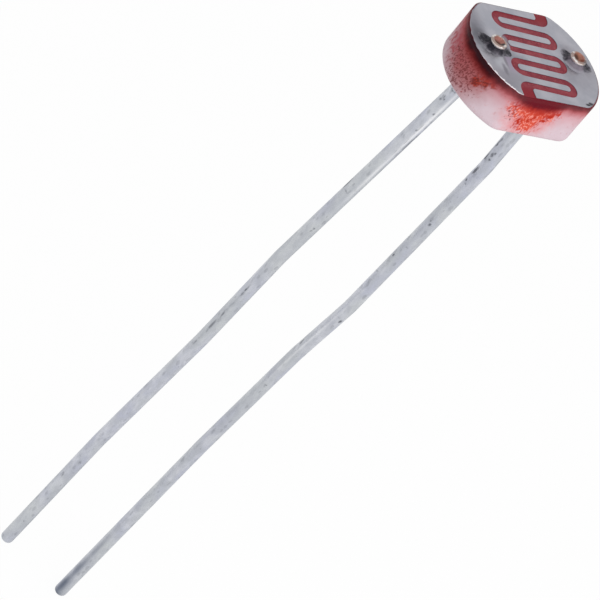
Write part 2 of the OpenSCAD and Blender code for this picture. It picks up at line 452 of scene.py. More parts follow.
class Sheet:
    """A node tree while it is being laid out, with the place on the part that its patterns follow."""

    def __init__(self, tree: bpy.types.NodeTree) -> None:
        """Starts on a tree, which loses the nodes that it has.

        Args:
            tree: Node tree of a material, a world or a node group.
        """
        self.tree = tree
        self.place: Feed = ORIGIN
        tree.nodes.clear()

    def node(self, kind: str, feeds: dict[str, Feed] | None = None, **settings: object) -> bpy.types.Node:
        """Adds a node.

        Args:
            kind: Blender's type name without its ShaderNode start.
            feeds: What goes into its inputs, by identifier or name.
            **settings: Properties of the node.

        Returns:
            The new node.
        """
        made = self.tree.nodes.new("ShaderNode" + kind)
        for name, value in settings.items():
            setattr(made, name, value)
        self.feed(made, feeds or {})
        return made

    def feed(self, node: bpy.types.Node, feeds: dict[str, Feed]) -> None:
        """Links sockets to some inputs of a node, or sets the inputs' own values.

        Args:
            node: Node with the inputs.
            feeds: What goes into its inputs, by identifier or name.
        """
        for name, value in feeds.items():
            found = next(s for s in node.inputs if s.identifier == name or (s.name == name and s.enabled))
            if isinstance(value, Socket):
                self.tree.links.new(value, found)
            else:
                found.default_value = value

    def math(self, operation: str, first: Feed, second: Feed = 0.0) -> Socket:
        """Adds an operation on two values and gives its result."""
        return self.node("Math", {"Value": first, "Value_001": second}, operation=operation).outputs[0]

    def plus(self, first: Feed, second: Feed) -> Socket:
        """Adds two values."""
        return self.math("ADD", first, second)

    def minus(self, first: Feed, second: Feed) -> Socket:
        """Takes the second value from the first."""
        return self.math("SUBTRACT", first, second)

    def times(self, first: Feed, second: Feed) -> Socket:
        """Multiplies two values."""
        return self.math("MULTIPLY", first, second)

    def larger(self, first: Feed, second: Feed) -> Socket:
        """Gives the larger of two values."""
        return self.math("MAXIMUM", first, second)

    def swing(self, value: Feed, width: Feed) -> Socket:
        """Turns a value from 0 to 1 into a swing of some width round 0."""
        return self.times(self.minus(value, 0.5), width)

    def vector(self, operation: str, first: Feed, second: Feed) -> Socket:
        """Adds an operation on two vectors and gives the new vector."""
        feeds = {"Vector": first, "Vector_001": second}
        return self.node("VectorMath", feeds, operation=operation).outputs[0]

    def length(self, vector: Feed) -> Socket:
        """Gives the length of a vector."""
        return self.node("VectorMath", {"Vector": vector}, operation="LENGTH").outputs["Value"]

    def axis(self, name: str) -> Socket:
        """Gives X, Y or Z of the place."""
        return self.node("SeparateXYZ", {"Vector": self.place}).outputs[name]

    def painted(self, name: str) -> Socket:
        """Gives a mask that is painted on the mesh."""
        return self.node("Attribute", attribute_name=name).outputs["Fac"]

    def noise(self, place: Socket, scale: Feed, detail: float, roughness: float = 0.5) -> bpy.types.Node:
        """Adds a noise and gives its node."""
        feeds = {"Vector": place, "Scale": scale, "Detail": detail, "Roughness": roughness}
        return self.node("TexNoise", feeds)

    def mix(self, factor: Feed, under: Feed, over: Feed) -> Socket:
        """Lays one colour over another.

        Args:
            factor: How much of the upper colour shows.
            under: Lower colour.
            over: Upper colour.

        Returns:
            The mixed colour.
        """
        feeds = {"Factor_Float": factor, "A_Color": under, "B_Color": over}
        made = self.node("Mix", feeds, data_type="RGBA", clamp_factor=True)
        return next(s for s in made.outputs if s.identifier == "Result_Color")

    def ramp(self, value: Feed, start: Feed, end: Feed, low: Feed = 0.0, high: Feed = 1.0) -> Socket:
        """Eases a value from low at start to high at end."""
        feeds = {"Value": value, "From Min": start, "From Max": end, "To Min": low, "To Max": high}
        return self.node("MapRange", feeds, interpolation_type="SMOOTHSTEP").outputs[0]


@dataclass(frozen=True)
class Ease:
    """A smooth rise or fall: low at its start, high at its end."""

    start: float
    end: float
    low: float = 0.0
    high: float = 1.0

    def of(self, sheet: Sheet, value: Feed) -> Socket:
        """Eases a value on a sheet."""
        return sheet.ramp(value, self.start, self.end, self.low, self.high)


class SharedEffect:
    """An effect that finishes share: a node group, built once, whose inputs are the fields of its class."""

    group: ClassVar[str]
    outputs: ClassVar[dict[str, str]] = {"Mask": "Float"}

    @classmethod
    def build(cls) -> None:
        """Builds the node group with its sockets and its nodes."""
        tree = bpy.data.node_groups.new(cls.group, "ShaderNodeTree")
        sheet = Sheet(tree)
        inputs = {"Vector": ORIGIN, **{item.name.title(): item.default for item in fields(cls)}}
        for name, default in inputs.items():
            kind = "NodeSocketVector" if isinstance(default, tuple) else "NodeSocketFloat"
            tree.interface.new_socket(name, in_out="INPUT", socket_type=kind).default_value = default
        for name, kind in cls.outputs.items():
            tree.interface.new_socket(name, in_out="OUTPUT", socket_type="NodeSocket" + kind)
        entry = tree.nodes.new("NodeGroupInput")
        given = {name.lower(): entry.outputs[name] for name in inputs}
        sheet.place = given["vector"]
        results = cls.draw(sheet, given)
        sheet.feed(tree.nodes.new("NodeGroupOutput"), results)

    @classmethod
    def draw(cls, sheet: Sheet, given: dict[str, Socket]) -> dict[str, Socket]:
        """Draws the nodes of the effect.

        Args:
            sheet: Sheet of the node group, with the place that the effect is given.
            given: Its inputs: the vector, and the others by the names of the fields.

        Returns:
            What goes to each output.
        """
        raise NotImplementedError

    def put(self, sheet: Sheet) -> bpy.types.Node:
        """Puts the effect on a sheet with the values of its fields.

        Args:
            sheet: Sheet of a material or of another effect.

        Returns:
            The node of the effect.
        """
        feeds = {"Vector": sheet.place}
        feeds |= {item.name.title(): getattr(self, item.name) for item in fields(self)}
        return sheet.node("Group", feeds, node_tree=bpy.data.node_groups[self.group])

    def mask(self, sheet: Sheet) -> Socket:
        """Puts the effect on a sheet and gives its first output."""
        return self.put(sheet).outputs[0]


@dataclass(frozen=True)
class PartPlace(SharedEffect):
    """Place on the part in millimetres, from its own coordinates in metres."""

    group = "Part Millimetres"
    outputs = {"Place": "Vector"}

    @classmethod
    def draw(cls, sheet: Sheet, given: dict[str, Socket]) -> dict[str, Socket]:
        """Scales the coordinates."""
        return {"Place": sheet.vector("MULTIPLY", given["vector"], (1 / MM,) * 3)}


@dataclass(frozen=True)
class Cloud(SharedEffect):
    """Cloudy variation, tilted about X and then stretched along the axes."""

    group = "Mottle"
    scale: float = 1.0
    spread: float = 0.2
    stretch: Point = EVEN
    tilt: float = 0.0

    @classmethod
    def draw(cls, sheet: Sheet, given: dict[str, Socket]) -> dict[str, Socket]:
        """Draws a noise whose middle values are spread out.

        Args:
            sheet: Sheet of the node group.
            given: Its inputs.

        Returns:
            The mask.
        """
        turn = {"Vector": sheet.place, "Angle": given["tilt"]}
        tilted = sheet.node("VectorRotate", turn, rotation_type="X_AXIS").outputs[0]
        place = sheet.vector("MULTIPLY", tilted, given["stretch"])
        cloud = sheet.noise(place, given["scale"], detail=3.0, roughness=0.55).outputs[0]
        low, high = sheet.minus(0.5, given["spread"]), sheet.plus(0.5, given["spread"])
        return {"Mask": sheet.ramp(cloud, low, high)}


def streaks(scale: float, spread: float = 0.2) -> Cloud:
    """Slanted streaks that run down the side of the body."""
    return Cloud(scale, spread, STREAK, SLANT)


@dataclass(frozen=True)
class Patch(SharedEffect):
    """Place and shape of a stain: a ragged ellipsoid round a point."""

    group = "Ragged Patch"
    centre: Point = ORIGIN
    size: Point = EVEN
    edge: float = 0.35
    raggedness: float = 0.5
    grain: float = 5.0

    @classmethod
    def draw(cls, sheet: Sheet, given: dict[str, Socket]) -> dict[str, Socket]:
        """Draws the ellipsoid with its edge moved about by a noise.

        Args:
            sheet: Sheet of the node group.
            given: Its inputs.

        Returns:
            The mask.
        """
        away = sheet.vector("SUBTRACT", sheet.place, given["centre"])
        distance = sheet.length(sheet.vector("DIVIDE", away, given["size"]))
        noise = sheet.noise(sheet.place, given["grain"], detail=4.0, roughness=0.65).outputs[0]
        reach = sheet.plus(distance, sheet.times(sheet.swing(noise, given["raggedness"]), 2.0))
        return {"Mask": sheet.ramp(reach, sheet.plus(1.0, given["edge"]), sheet.minus(1.0, given["edge"]))}


@dataclass(frozen=True)
class Speckle(SharedEffect):
    """Scattered specks of uneven size, stretched along the axes."""

    group = "Speckle"
    scale: float = 10.0
    coverage: float = 0.4
    stretch: Point = EVEN
    warp: ClassVar[float] = 0.08
    core: ClassVar[float] = 0.45

    @classmethod
    def draw(cls, sheet: Sheet, given: dict[str, Socket]) -> dict[str, Socket]:
        """Draws cells, each with a speck of its own size.

        Args:
            sheet: Sheet of the node group.
            given: Its inputs.

        Returns:
            The mask.
        """
        warp = sheet.noise(sheet.place, given["scale"], detail=2.0).outputs["Color"]
        bent = sheet.vector("ADD", sheet.place, sheet.vector("MULTIPLY", warp, (cls.warp,) * 3))
        place = sheet.vector("MULTIPLY", bent, given["stretch"])
        cells = sheet.node("TexVoronoi", {"Vector": place, "Scale": given["scale"], "Randomness": 1.0})
        chance = sheet.node("SeparateColor", {"Color": cells.outputs["Color"]}).outputs[0]
        radius = sheet.times(chance, given["coverage"])
        return {"Mask": sheet.ramp(cells.outputs["Distance"], radius, sheet.times(radius, cls.core))}


@dataclass(frozen=True)
class Relief(SharedEffect):
    """Height of a surface with a coarse and a fine grain."""

    group = "Surface Relief"
    outputs = {"Height": "Float"}
    coarse: float = 4.0
    fine: float = 30.0
    share: float = 0.4
    stretch: Point = EVEN

    @classmethod
    def draw(cls, sheet: Sheet, given: dict[str, Socket]) -> dict[str, Socket]:
        """Draws two noises and adds a share of the fine one.

        Args:
            sheet: Sheet of the node group.
            given: Its inputs.

        Returns:
            The height.
        """
        place = sheet.vector("MULTIPLY", sheet.place, given["stretch"])
        coarse = sheet.noise(place, given["coarse"], detail=3.0).outputs[0]
        fine = sheet.noise(place, given["fine"], detail=4.0).outputs[0]
        return {"Height": sheet.plus(coarse, sheet.times(fine, given["share"]))}


@dataclass(frozen=True)
class RimSoak(SharedEffect):
    """The red film that has run over the rim: how far down it reaches, and its colour.

    It runs further on the dark arc of the left side and on the near flat. Each set of colours is the
    plain one, that of the arc and that of the flat.
    """

    group = "Rim Soak"
    outputs = {"Mask": "Float", "Color": "Color"}
    dark_arc: ClassVar[Patch] = Patch((-2.4, -0.42, 1.7), (1.0, 1.15, 0.9), 0.5, 0.12)
    near_flat: ClassVar[Patch] = Patch((-0.45, -2.1, 1.7), (0.8, 0.5, 0.9), 0.45, 0.15)
    lower_colours: ClassVar[Shades] = (paint(168, 78, 82), paint(124, 32, 31), paint(178, 50, 40))
    rim_colours: ClassVar[Shades] = (paint(94, 40, 46), paint(44, 12, 20), paint(100, 18, 30))
    streak: ClassVar[Cloud] = streaks(4.5, 0.3)
    foot_z: ClassVar[float] = 1.58
    arc_run: ClassVar[float] = 0.12
    flat_run: ClassVar[float] = 0.28
    streak_w: ClassVar[float] = 0.12
    fade: ClassVar[tuple[float, float]] = (0.42, 0.04)
    deepening: ClassVar[tuple[float, float]] = (0.2, 0.17)

    @classmethod
    def draw(cls, sheet: Sheet, given: dict[str, Socket]) -> dict[str, Socket]:
        """Draws the streaky foot of the run and the colours below and on the rim.

        Args:
            sheet: Sheet of the node group.
            given: Its inputs.

        Returns:
            The mask and the colour.
        """
        level = sheet.plus(sheet.axis("Z"), sheet.swing(cls.streak.mask(sheet), cls.streak_w))
        on_arc = cls.dark_arc.mask(sheet)
        on_flat = cls.near_flat.mask(sheet)
        run = sheet.plus(sheet.times(on_arc, cls.arc_run), sheet.times(on_flat, cls.flat_run))
        foot = sheet.minus(cls.foot_z, run)
        mask, depth = (
            sheet.ramp(level, sheet.minus(foot, below), sheet.plus(foot, above))
            for below, above in (cls.fade, cls.deepening)
        )
        lower, rim = (
            sheet.mix(on_flat, sheet.mix(on_arc, plain, arc_colour), flat_colour)
            for plain, arc_colour, flat_colour in (cls.lower_colours, cls.rim_colours)
        )
        return {"Mask": mask, "Color": sheet.mix(depth, lower, rim)}


@dataclass(frozen=True)
class Stain:
    """A patch with its colour."""

    patch: Patch
    colour: Colour
    strength: float = 1.0

    def lay(self, sheet: Sheet, under: Feed) -> Socket:
        """Lays the stain over a colour and gives the result."""
        return sheet.mix(sheet.times(self.patch.mask(sheet), self.strength), under, self.colour)


def lay_stains(sheet: Sheet, stains: tuple[Stain, ...], under: Socket) -> Socket:
    """Lays some stains over a colour.

    Args:
        sheet: Sheet of the material.
        stains: The stains, the lowest first.
        under: Colour below them.

    Returns:
        The stained colour.
    """
    for stain in stains:
        under = stain.lay(sheet, under)
    return under


def widest(sheet: Sheet, areas: tuple[Patch, ...]) -> Socket:
    """Puts some patches on a sheet.

    Args:
        sheet: Sheet of the material.
        areas: The patches.

    Returns:
        The mask of them all.
    """
    mask = areas[0].mask(sheet)
    for patch in areas[1:]:
        mask = sheet.larger(mask, patch.mask(sheet))
    return mask


class Finish:
    """A material: colours and relief laid out in nodes, with one Principled shader at their end."""

    name: ClassVar[str]
    relief_depth: float
    relief_strength: float

    def make(self) -> bpy.types.Material:
        """Makes the material.

        Returns:
            The new material.
        """
        material = bpy.data.materials.new(self.name)
        material.use_nodes = True
        sheet = Sheet(material.node_tree)
        sheet.place = sheet.node("TexCoord").outputs["Object"]
        sheet.place = PartPlace().mask(sheet)
        shader = sheet.node("BsdfPrincipled", self.lay(sheet))
        sheet.node("OutputMaterial", {"Surface": shader.outputs[0]})
        return material

    def lay(self, sheet: Sheet) -> dict[str, Feed]:
        """Lays out the finish.

        Args:
            sheet: Sheet of the material.

        Returns:
            What feeds the shader, by socket.
        """
        raise NotImplementedError

    def normal(self, sheet: Sheet, height: Socket) -> Socket:
        """Gives the normal of a relief of the depth and strength that the finish has."""
        feeds = {"Height": height, "Distance": self.relief_depth * MM, "Strength": self.relief_strength}
        return sheet.node("Bump", feeds).outputs[0]


@dataclass(frozen=True)
class CeramicFinish(Finish):
    """Pale pink fired ceramic with rose dust, orange powder and dark flecks below the rim."""

    name = "fired_ceramic"
    pale: Colour = paint(210, 191, 199)
    grey: Colour = paint(204, 183, 191)
    blush: Colour = paint(196, 116, 122)
    fleck: Colour = paint(108, 46, 48)
    powder: Colour = paint(204, 76, 57)
    powder_light: Colour = paint(230, 140, 128)
    powder_dark: Colour = paint(176, 44, 28)
    rose: Colour = paint(164, 76, 84)
    rust: Colour = paint(158, 50, 32)
    rust_dark: Colour = paint(104, 28, 22)
    gloss: float = 0.03
    cloud: Cloud = Cloud(1.1, 0.18)
    streak_scales: tuple[float, ...] = (3.5, 8.0, 14.0, 16.5)
    dust: tuple[Stain, ...] = (
        Stain(Patch((-2.5, 0.2, 1.5), (1.1, 1.5, 1.0), 0.75, 0.2, 3.0), paint(166, 92, 100), 0.88),
        Stain(Patch((-2.5, -0.4, 1.15), (0.8, 0.95, 1.0), 0.6, 0.25, 3.0), paint(160, 80, 80), 0.76),
        Stain(Patch((-0.55, -2.1, 0.9), (0.9, 0.5, 0.8), 0.6, 0.5, 5.0), paint(214, 126, 126), 0.8),
    )
    powder_areas: tuple[Patch, ...] = (
        Patch((-0.5, -2.1, 1.2), (0.9, 0.6, 0.46), 0.7, 0.4, 5.0),
        Patch((0.02, -2.1, 1.28), (0.42, 0.6, 0.36), 0.5, 0.4, 5.0),
        Patch((-0.5, -2.1, 0.7), (0.45, 0.6, 0.5), 0.8, 0.5, 6.0),
    )
    rust_areas: tuple[Patch, ...] = (
        Patch((-2.17, -1.34, 1.42), (0.2, 0.24, 0.26), 0.6, 0.3, 5.0),
        Patch((-2.26, -1.17, 1.2), (0.2, 0.22, 0.26), 0.6, 0.3, 5.0),
        Patch((-2.36, -0.96, 0.95), (0.18, 0.2, 0.24), 0.7, 0.4, 6.0),
    )
    rose_area: Patch = Patch((-2.3, 0.95, 1.1), (0.9, 1.0, 0.75), 0.5, 0.3, 4.0)
    fleck_areas: tuple[Patch, ...] = (
        Patch((-2.5, -0.25, 0.8), (0.8, 0.95, 0.85), 0.4, 0.3, 4.0),
        Patch((-1.2, -2.1, 1.1), (0.35, 0.5, 0.5), 0.6, 0.3, 4.0),
    )
    blush_rise: Ease = Ease(0.45, 1.75, high=0.8)
    rose_streaks: Ease = Ease(0.4, 0.9, high=0.8)
    rust_grain: float = 0.6
    rust_shows: Ease = Ease(0.5, 1.35, high=0.9)
    rust_darkens: Ease = Ease(0.3, 0.75)
    fleck_share: float = 0.55
    fleck_shows: Ease = Ease(1.05, 1.35, high=0.75)
    fine_scatter: float = 0.55
    grain_scatter: float = 0.35
    powder_shows: Ease = Ease(0.68, 1.3)
    powder_darkens: Ease = Ease(0.35, 0.95)
    light_clumps: Ease = Ease(0.8, 0.3)
    light_grains: Ease = Ease(0.5, 0.15)
    roughness: Ease = Ease(0.0, 1.0, 0.42, 0.56)
    relief: Relief = Relief(5.0, 26.0, 0.35)
    relief_depth: float = 0.012
    relief_strength: float = 0.5
    powder_height: float = 0.5

    def lay(self, sheet: Sheet) -> dict[str, Feed]:
        """Lays pale ceramic, dust, rust, flecks, powder and the soaked rim over each other.

        Args:
            sheet: Sheet of the material.

        Returns:
            What feeds the shader, by socket.
        """
        cloud = self.cloud.mask(sheet)
        patchy, grain, fine, finest = (streaks(scale).mask(sheet) for scale in self.streak_scales)
        colour = sheet.mix(cloud, self.pale, self.grey)
        colour = sheet.mix(self.blush_rise.of(sheet, sheet.axis("Z")), colour, self.blush)
        colour = lay_stains(sheet, self.dust, colour)
        rosy = sheet.times(self.rose_area.mask(sheet), self.rose_streaks.of(sheet, grain))
        colour = sheet.mix(rosy, colour, self.rose)
        rust = sheet.plus(widest(sheet, self.rust_areas), sheet.times(grain, self.rust_grain))
        browned = sheet.mix(self.rust_darkens.of(sheet, fine), self.rust, self.rust_dark)
        colour = sheet.mix(self.rust_shows.of(sheet, rust), colour, browned)
        flecks = sheet.plus(sheet.times(widest(sheet, self.fleck_areas), self.fleck_share), finest)
        colour = sheet.mix(self.fleck_shows.of(sheet, flecks), colour, self.fleck)
        scatter = sheet.plus(sheet.times(fine, self.fine_scatter), sheet.times(grain, self.grain_scatter))
        amount = self.powder_shows.of(sheet, sheet.plus(widest(sheet, self.powder_areas), scatter))
        grains = sheet.mix(self.powder_darkens.of(sheet, patchy), self.powder, self.powder_dark)
        light = sheet.times(self.light_clumps.of(sheet, patchy), self.light_grains.of(sheet, finest))
        colour = sheet.mix(amount, colour, sheet.mix(light, grains, self.powder_light))
        soak = RimSoak().put(sheet)
        colour = sheet.mix(soak.outputs["Mask"], colour, soak.outputs["Color"])
        piled = sheet.times(sheet.times(amount, fine), self.powder_height)
        return {
            "Base Color": colour,
            "Specular IOR Level": self.gloss,
            "Roughness": self.roughness.of(sheet, cloud),
            "Normal": self.normal(sheet, sheet.plus(self.relief.mask(sheet), piled)),
        }


@dataclass(frozen=True)
class PhotoconductorFinish(Finish):
    """Red-brown fired film under lacquer, darker where it has run over the rim."""

    name = "red_photoconductor"
    track: Colour = paint(142, 63, 72)
    deep: Colour = paint(124, 50, 61)
    warm: Colour = paint(156, 77, 81)
    end: Colour = paint(130, 38, 48)
    smudge: Stain = Stain(
        Patch((-1.13, 0.38, 1.72), (0.2, 0.3, 0.3), 0.35, 0.3, 4.0), paint(138, 130, 140), 0.92
    )
    lacquer: float = 0.05
    lacquer_roughness: float = 0.2
    gloss: float = 0.05
    cloud: Cloud = Cloud(2.4, 0.16)
    specks: Speckle = Speckle(12.0, 0.7)
    speck_share: float = 0.55
    to_flat: Ease = Ease(1.45, 1.85)
    to_side: Ease = Ease(1.7199, 1.717)
    roughness: Ease = Ease(0.0, 1.0, 0.4, 0.52)
    relief: Relief = Relief(9.0, 40.0, 0.5)
    relief_depth: float = 0.006
    relief_strength: float = 0.5

    def lay(self, sheet: Sheet) -> dict[str, Feed]:
        """Lays the speckled track colour, its ends and the smudge, and the rim's colour on the side.

        Args:
            sheet: Sheet of the material.

        Returns:
            What feeds the shader, by socket.
        """
        cloud = self.cloud.mask(sheet)
        colour = sheet.mix(cloud, self.track, self.deep)
        colour = sheet.mix(sheet.times(self.specks.mask(sheet), self.speck_share), colour, self.warm)
        across = sheet.math("ABSOLUTE", sheet.axis("Y"))
        colour = sheet.mix(self.to_flat.of(sheet, across), colour, self.end)
        colour = self.smudge.lay(sheet, colour)
        rim = RimSoak().put(sheet).outputs["Color"]
        return {
            "Base Color": sheet.mix(self.to_side.of(sheet, sheet.axis("Z")), colour, rim),
            "Roughness": self.roughness.of(sheet, cloud),
            "Specular IOR Level": self.gloss,
            "Coat Weight": self.lacquer,
            "Coat Roughness": self.lacquer_roughness,
            "Normal": self.normal(sheet, self.relief.mask(sheet)),
        }


@dataclass(frozen=True)
class MetalFilmFinish(Finish):
    """Satin metal film with a grey haze round the stubs, partly painted shadow and reflection, a dark fleck,
    a dark edge line and a painted highlight on the lip.
    """

    name = "satin_metal_film"
    metal: Colour = paint(168, 167, 175)
    cool: Colour = paint(157, 158, 167)
    fleck: Colour = paint(60, 58, 64)
    lip: Colour = paint(150, 147, 154)
    # Painted highlight colour of the lip at the lower left.
    bright_lip: Colour = paint(222, 218, 222)
    edge_line: Colour = paint(104, 96, 104)
    cloud: Cloud = Cloud(1.6, 0.2)
    # The first stain is painted reflection, darker metal along the upper left arc; the second is haze with
    # painted shadow beside the left stub's paste.
    haze: tuple[Stain, ...] = (
        Stain(Patch((-2.15, 1.2, 1.74), (0.35, 0.8, 0.4), 0.8, 0.3, 3.0), paint(116, 113, 122), 0.6),
        Stain(Patch((-2.2, 0.35, 1.74), (0.35, 0.5, 0.4), 0.7, 0.4, 4.0), paint(80, 79, 86), 0.75),
        Stain(Patch((-1.5, -0.28, 1.74), (0.75, 0.25, 0.4), 0.7, 0.6, 4.0), paint(116, 114, 122), 0.6),
        Stain(Patch((-1.7, -1.35, 1.74), (0.8, 0.6, 0.4), 0.8, 0.4, 3.0), paint(130, 127, 136), 0.75),
        Stain(Patch((-1.75, -0.68, 1.74), (0.24, 0.34, 0.4), 0.5, 0.4, 3.0), paint(174, 174, 182), 0.6),
        Stain(Patch((-1.34, -0.62, 1.74), (0.16, 0.4, 0.4), 0.6, 0.5, 5.0), paint(150, 136, 156), 0.75),
        Stain(Patch((-1.5, -0.6, 1.74), (0.06, 0.24, 0.4), 0.6, 0.5, 7.0), paint(112, 106, 116), 0.75),
        Stain(Patch((-1.68, -0.98, 1.74), (0.08, 0.24, 0.4), 0.6, 0.5, 7.0), paint(108, 104, 114), 0.75),
        Stain(Patch((1.5, -0.7, 1.74), (0.8, 0.5, 0.4), 0.8, 0.4, 3.0), paint(140, 138, 147), 0.6),
        Stain(Patch((1.6, 0.35, 1.74), (0.35, 0.4, 0.4), 0.7, 0.6, 5.0), paint(124, 118, 126), 0.6),
        Stain(Patch((1.52, 0.34, 1.74), (0.2, 0.2, 0.4), 0.5, 0.5, 6.0), paint(72, 70, 80), 0.8),
        Stain(Patch((2.1, -0.1, 1.74), (0.3, 0.4, 0.4), 0.7, 0.6, 5.0), paint(122, 118, 124), 0.6),
    )
    fleck_areas: tuple[Patch, ...] = (
        Patch((1.44, -1.9, 1.74), (0.11, 0.05, 0.4), 0.5, 0.7, 9.0),
        Patch((1.58, -1.83, 1.74), (0.11, 0.06, 0.4), 0.5, 0.7, 9.0),
    )
    left_rim: Patch = Patch((-2.4, -0.2, 1.74), (0.9, 2.0, 0.5), 0.4, 0.3, 6.0)
    # Where the painted lip highlight lies.
    bright_rim: Patch = Patch((-1.95, -1.45, 1.74), (0.7, 0.9, 0.5), 0.35, 0.9, 9.0)
    over_lip: Ease = Ease(1.7398, 1.7375)
    # Ragged edge of the painted highlight along the lip.
    wear: Cloud = Cloud(7.0, 0.2)
    wear_w: float = 0.07
    worn_round: Ease = Ease(2.45, 2.48)
    line_round: Ease = Ease(2.455, 2.485)
    line_on_flat: Ease = Ease(2.005, 2.035)
    line_share: float = 0.75
    roughness: Ease = Ease(0.0, 1.0, 0.34, 0.46)
    relief: Relief = Relief(3.0, 28.0, 0.25)
    relief_depth: float = 0.006
    relief_strength: float = 0.5

    def lay(self, sheet: Sheet) -> dict[str, Feed]:
        """Lays the cloudy metal, its haze with painted reflection and shadow, the fleck, a dark edge line
        and the painted highlight along the lip.

        Args:
            sheet: Sheet of the material.

        Returns:
            What feeds the shader, by socket.
        """
        cloud = self.cloud.mask(sheet)
        # Haze round the stubs, with painted reflection and painted shadow among its stains.
        colour = lay_stains(sheet, self.haze, sheet.mix(cloud, self.metal, self.cool))
        for patch in self.fleck_areas:
            colour = sheet.mix(patch.mask(sheet), colour, self.fleck)
        lip = self.over_lip.of(sheet, sheet.axis("Z"))
        radius = sheet.length(sheet.vector("MULTIPLY", sheet.place, FLAT))
        # Painted highlight: a bright ragged line along the lower left lip.
        bright = self.bright_rim.mask(sheet)
        painted_glint = sheet.plus(radius, sheet.swing(self.wear.mask(sheet), self.wear_w))
        painted_glint = sheet.times(self.worn_round.of(sheet, painted_glint), bright)
        left = self.left_rim.mask(sheet)
        line = sheet.larger(lip, self.line_round.of(sheet, radius))
        line = sheet.larger(line, self.line_on_flat.of(sheet, sheet.axis("Y")))
        line = sheet.times(line, sheet.minus(1.0, left))
        colour = sheet.mix(sheet.times(line, self.line_share), colour, self.edge_line)
        lip_colour = sheet.mix(bright, self.lip, self.bright_lip)
        return {
            "Base Color": sheet.mix(sheet.larger(sheet.times(lip, left), painted_glint), colour, lip_colour),
            "Metallic": 1.0,
            "Roughness": self.roughness.of(sheet, cloud),
            "Normal": self.normal(sheet, self.relief.mask(sheet)),
        }


@dataclass(frozen=True)
class TinnedWireFinish(Finish):
    """Satin tin on drawn wire, clouded, with dark pits and dark streaks, a painted highlight stripe and
    painted shade.
    """

    name = "tinned_wire"
    tin: Colour = paint(208, 210, 218)
    bluish: Colour = paint(192, 195, 208)
    greenish: Colour = paint(198, 202, 202)
    dull: Colour = paint(182, 185, 192)
    # Near-white colour of the painted highlight stripe.
    bright: Colour = paint(253, 253, 255)
    head: Colour = paint(230, 222, 216)
    cut: Colour = paint(156, 138, 131)
    cut_pale: Colour = paint(202, 198, 196)
    pit: Colour = paint(106, 109, 118)
    tarnish: Colour = paint(104, 112, 128)
    # A bare copper-brown patch on the far rim of the right head, and a painted shadow of the paste on the
    # near right side of its ring.
    head_marks: tuple[Stain, ...] = (
        Stain(Patch((1.86, 0.17, 2.0), (0.2, 0.16, 0.1), 0.5, 0.3, 6.0), paint(158, 110, 94), 0.9),
        Stain(Patch((1.9, -0.19, 2.0), (0.13, 0.13, 0.12), 0.5, 0.4, 7.0), paint(98, 84, 84), 0.75),
    )
    cloud: Cloud = Cloud(2.2, 0.14, DRAWN)
    patina: Cloud = Cloud(0.8, 0.12, DRAWN)
    fine: Cloud = Cloud(6.0, 0.16, DRAWN)
    specks: Speckle = Speckle(6.0, 0.5, DRAWN)
    patina_share: float = 0.6
    fine_share: float = 0.55
    speck_share: float = 0.24
    on_head: Ease = Ease(1.9, 1.92)
    on_cut: Ease = Ease(1.992, 2.001)
    cut_pales: Ease = Ease(0.55, 0.85)
    pit_grain: Ease = Ease(0.0, 1.0, 0.5, 1.5)
    pit_shows: Ease = Ease(0.12, 0.8)
    metallic: Ease = Ease(0.0, 1.0, 1.0, 0.5)
    roughness: Ease = Ease(0.0, 1.0, 0.36, 0.5)
    relief: Relief = Relief(9.0, 34.0, 0.4, (1.0, 1.0, 0.12))
    relief_depth: float = 0.008
    relief_strength: float = 0.6

    def lay(self, sheet: Sheet) -> dict[str, Feed]:
        """Lays clouded tin, a painted highlight stripe, the pale head with its cut top and its marks, one of
        them a painted shadow, then dark streaks and pits with some painted shade.

        Args:
            sheet: Sheet of the material.

        Returns:
            What feeds the shader, by socket.
        """
        cloud, fine = self.cloud.mask(sheet), self.fine.mask(sheet)
        colour = sheet.mix(cloud, self.tin, self.bluish)
        colour = sheet.mix(sheet.times(self.patina.mask(sheet), self.patina_share), colour, self.greenish)
        colour = sheet.mix(sheet.times(fine, self.fine_share), colour, self.dull)
        colour = sheet.mix(sheet.times(self.specks.mask(sheet), self.speck_share), colour, self.pit)
        # Painted highlight: a bright stripe along the wire.
        colour = sheet.mix(sheet.painted("gleam"), colour, self.bright)
        height = sheet.axis("Z")
        colour = sheet.mix(self.on_head.of(sheet, height), colour, self.head)
        cut = sheet.mix(self.cut_pales.of(sheet, fine), self.cut, self.cut_pale)
        colour = sheet.mix(self.on_cut.of(sheet, height), colour, cut)
        # Head marks: bare copper and a painted shadow of the paste.
        colour = lay_stains(sheet, self.head_marks, colour)
        # Dark bluish streaks along the wire, darkest at the right tip.
        colour = sheet.mix(sheet.painted("tarnish"), colour, self.tarnish)
        # Pits, and painted shade where a mark makes no dent.
        pits = sheet.times(sheet.painted("pit"), self.pit_grain.of(sheet, fine))
        pits = self.pit_shows.of(sheet, pits)
        return {
            "Base Color": sheet.mix(pits, colour, self.pit),
            "Metallic": self.metallic.of(sheet, pits),
            "Roughness": self.roughness.of(sheet, cloud),
            "Normal": self.normal(sheet, self.relief.mask(sheet)),
        }


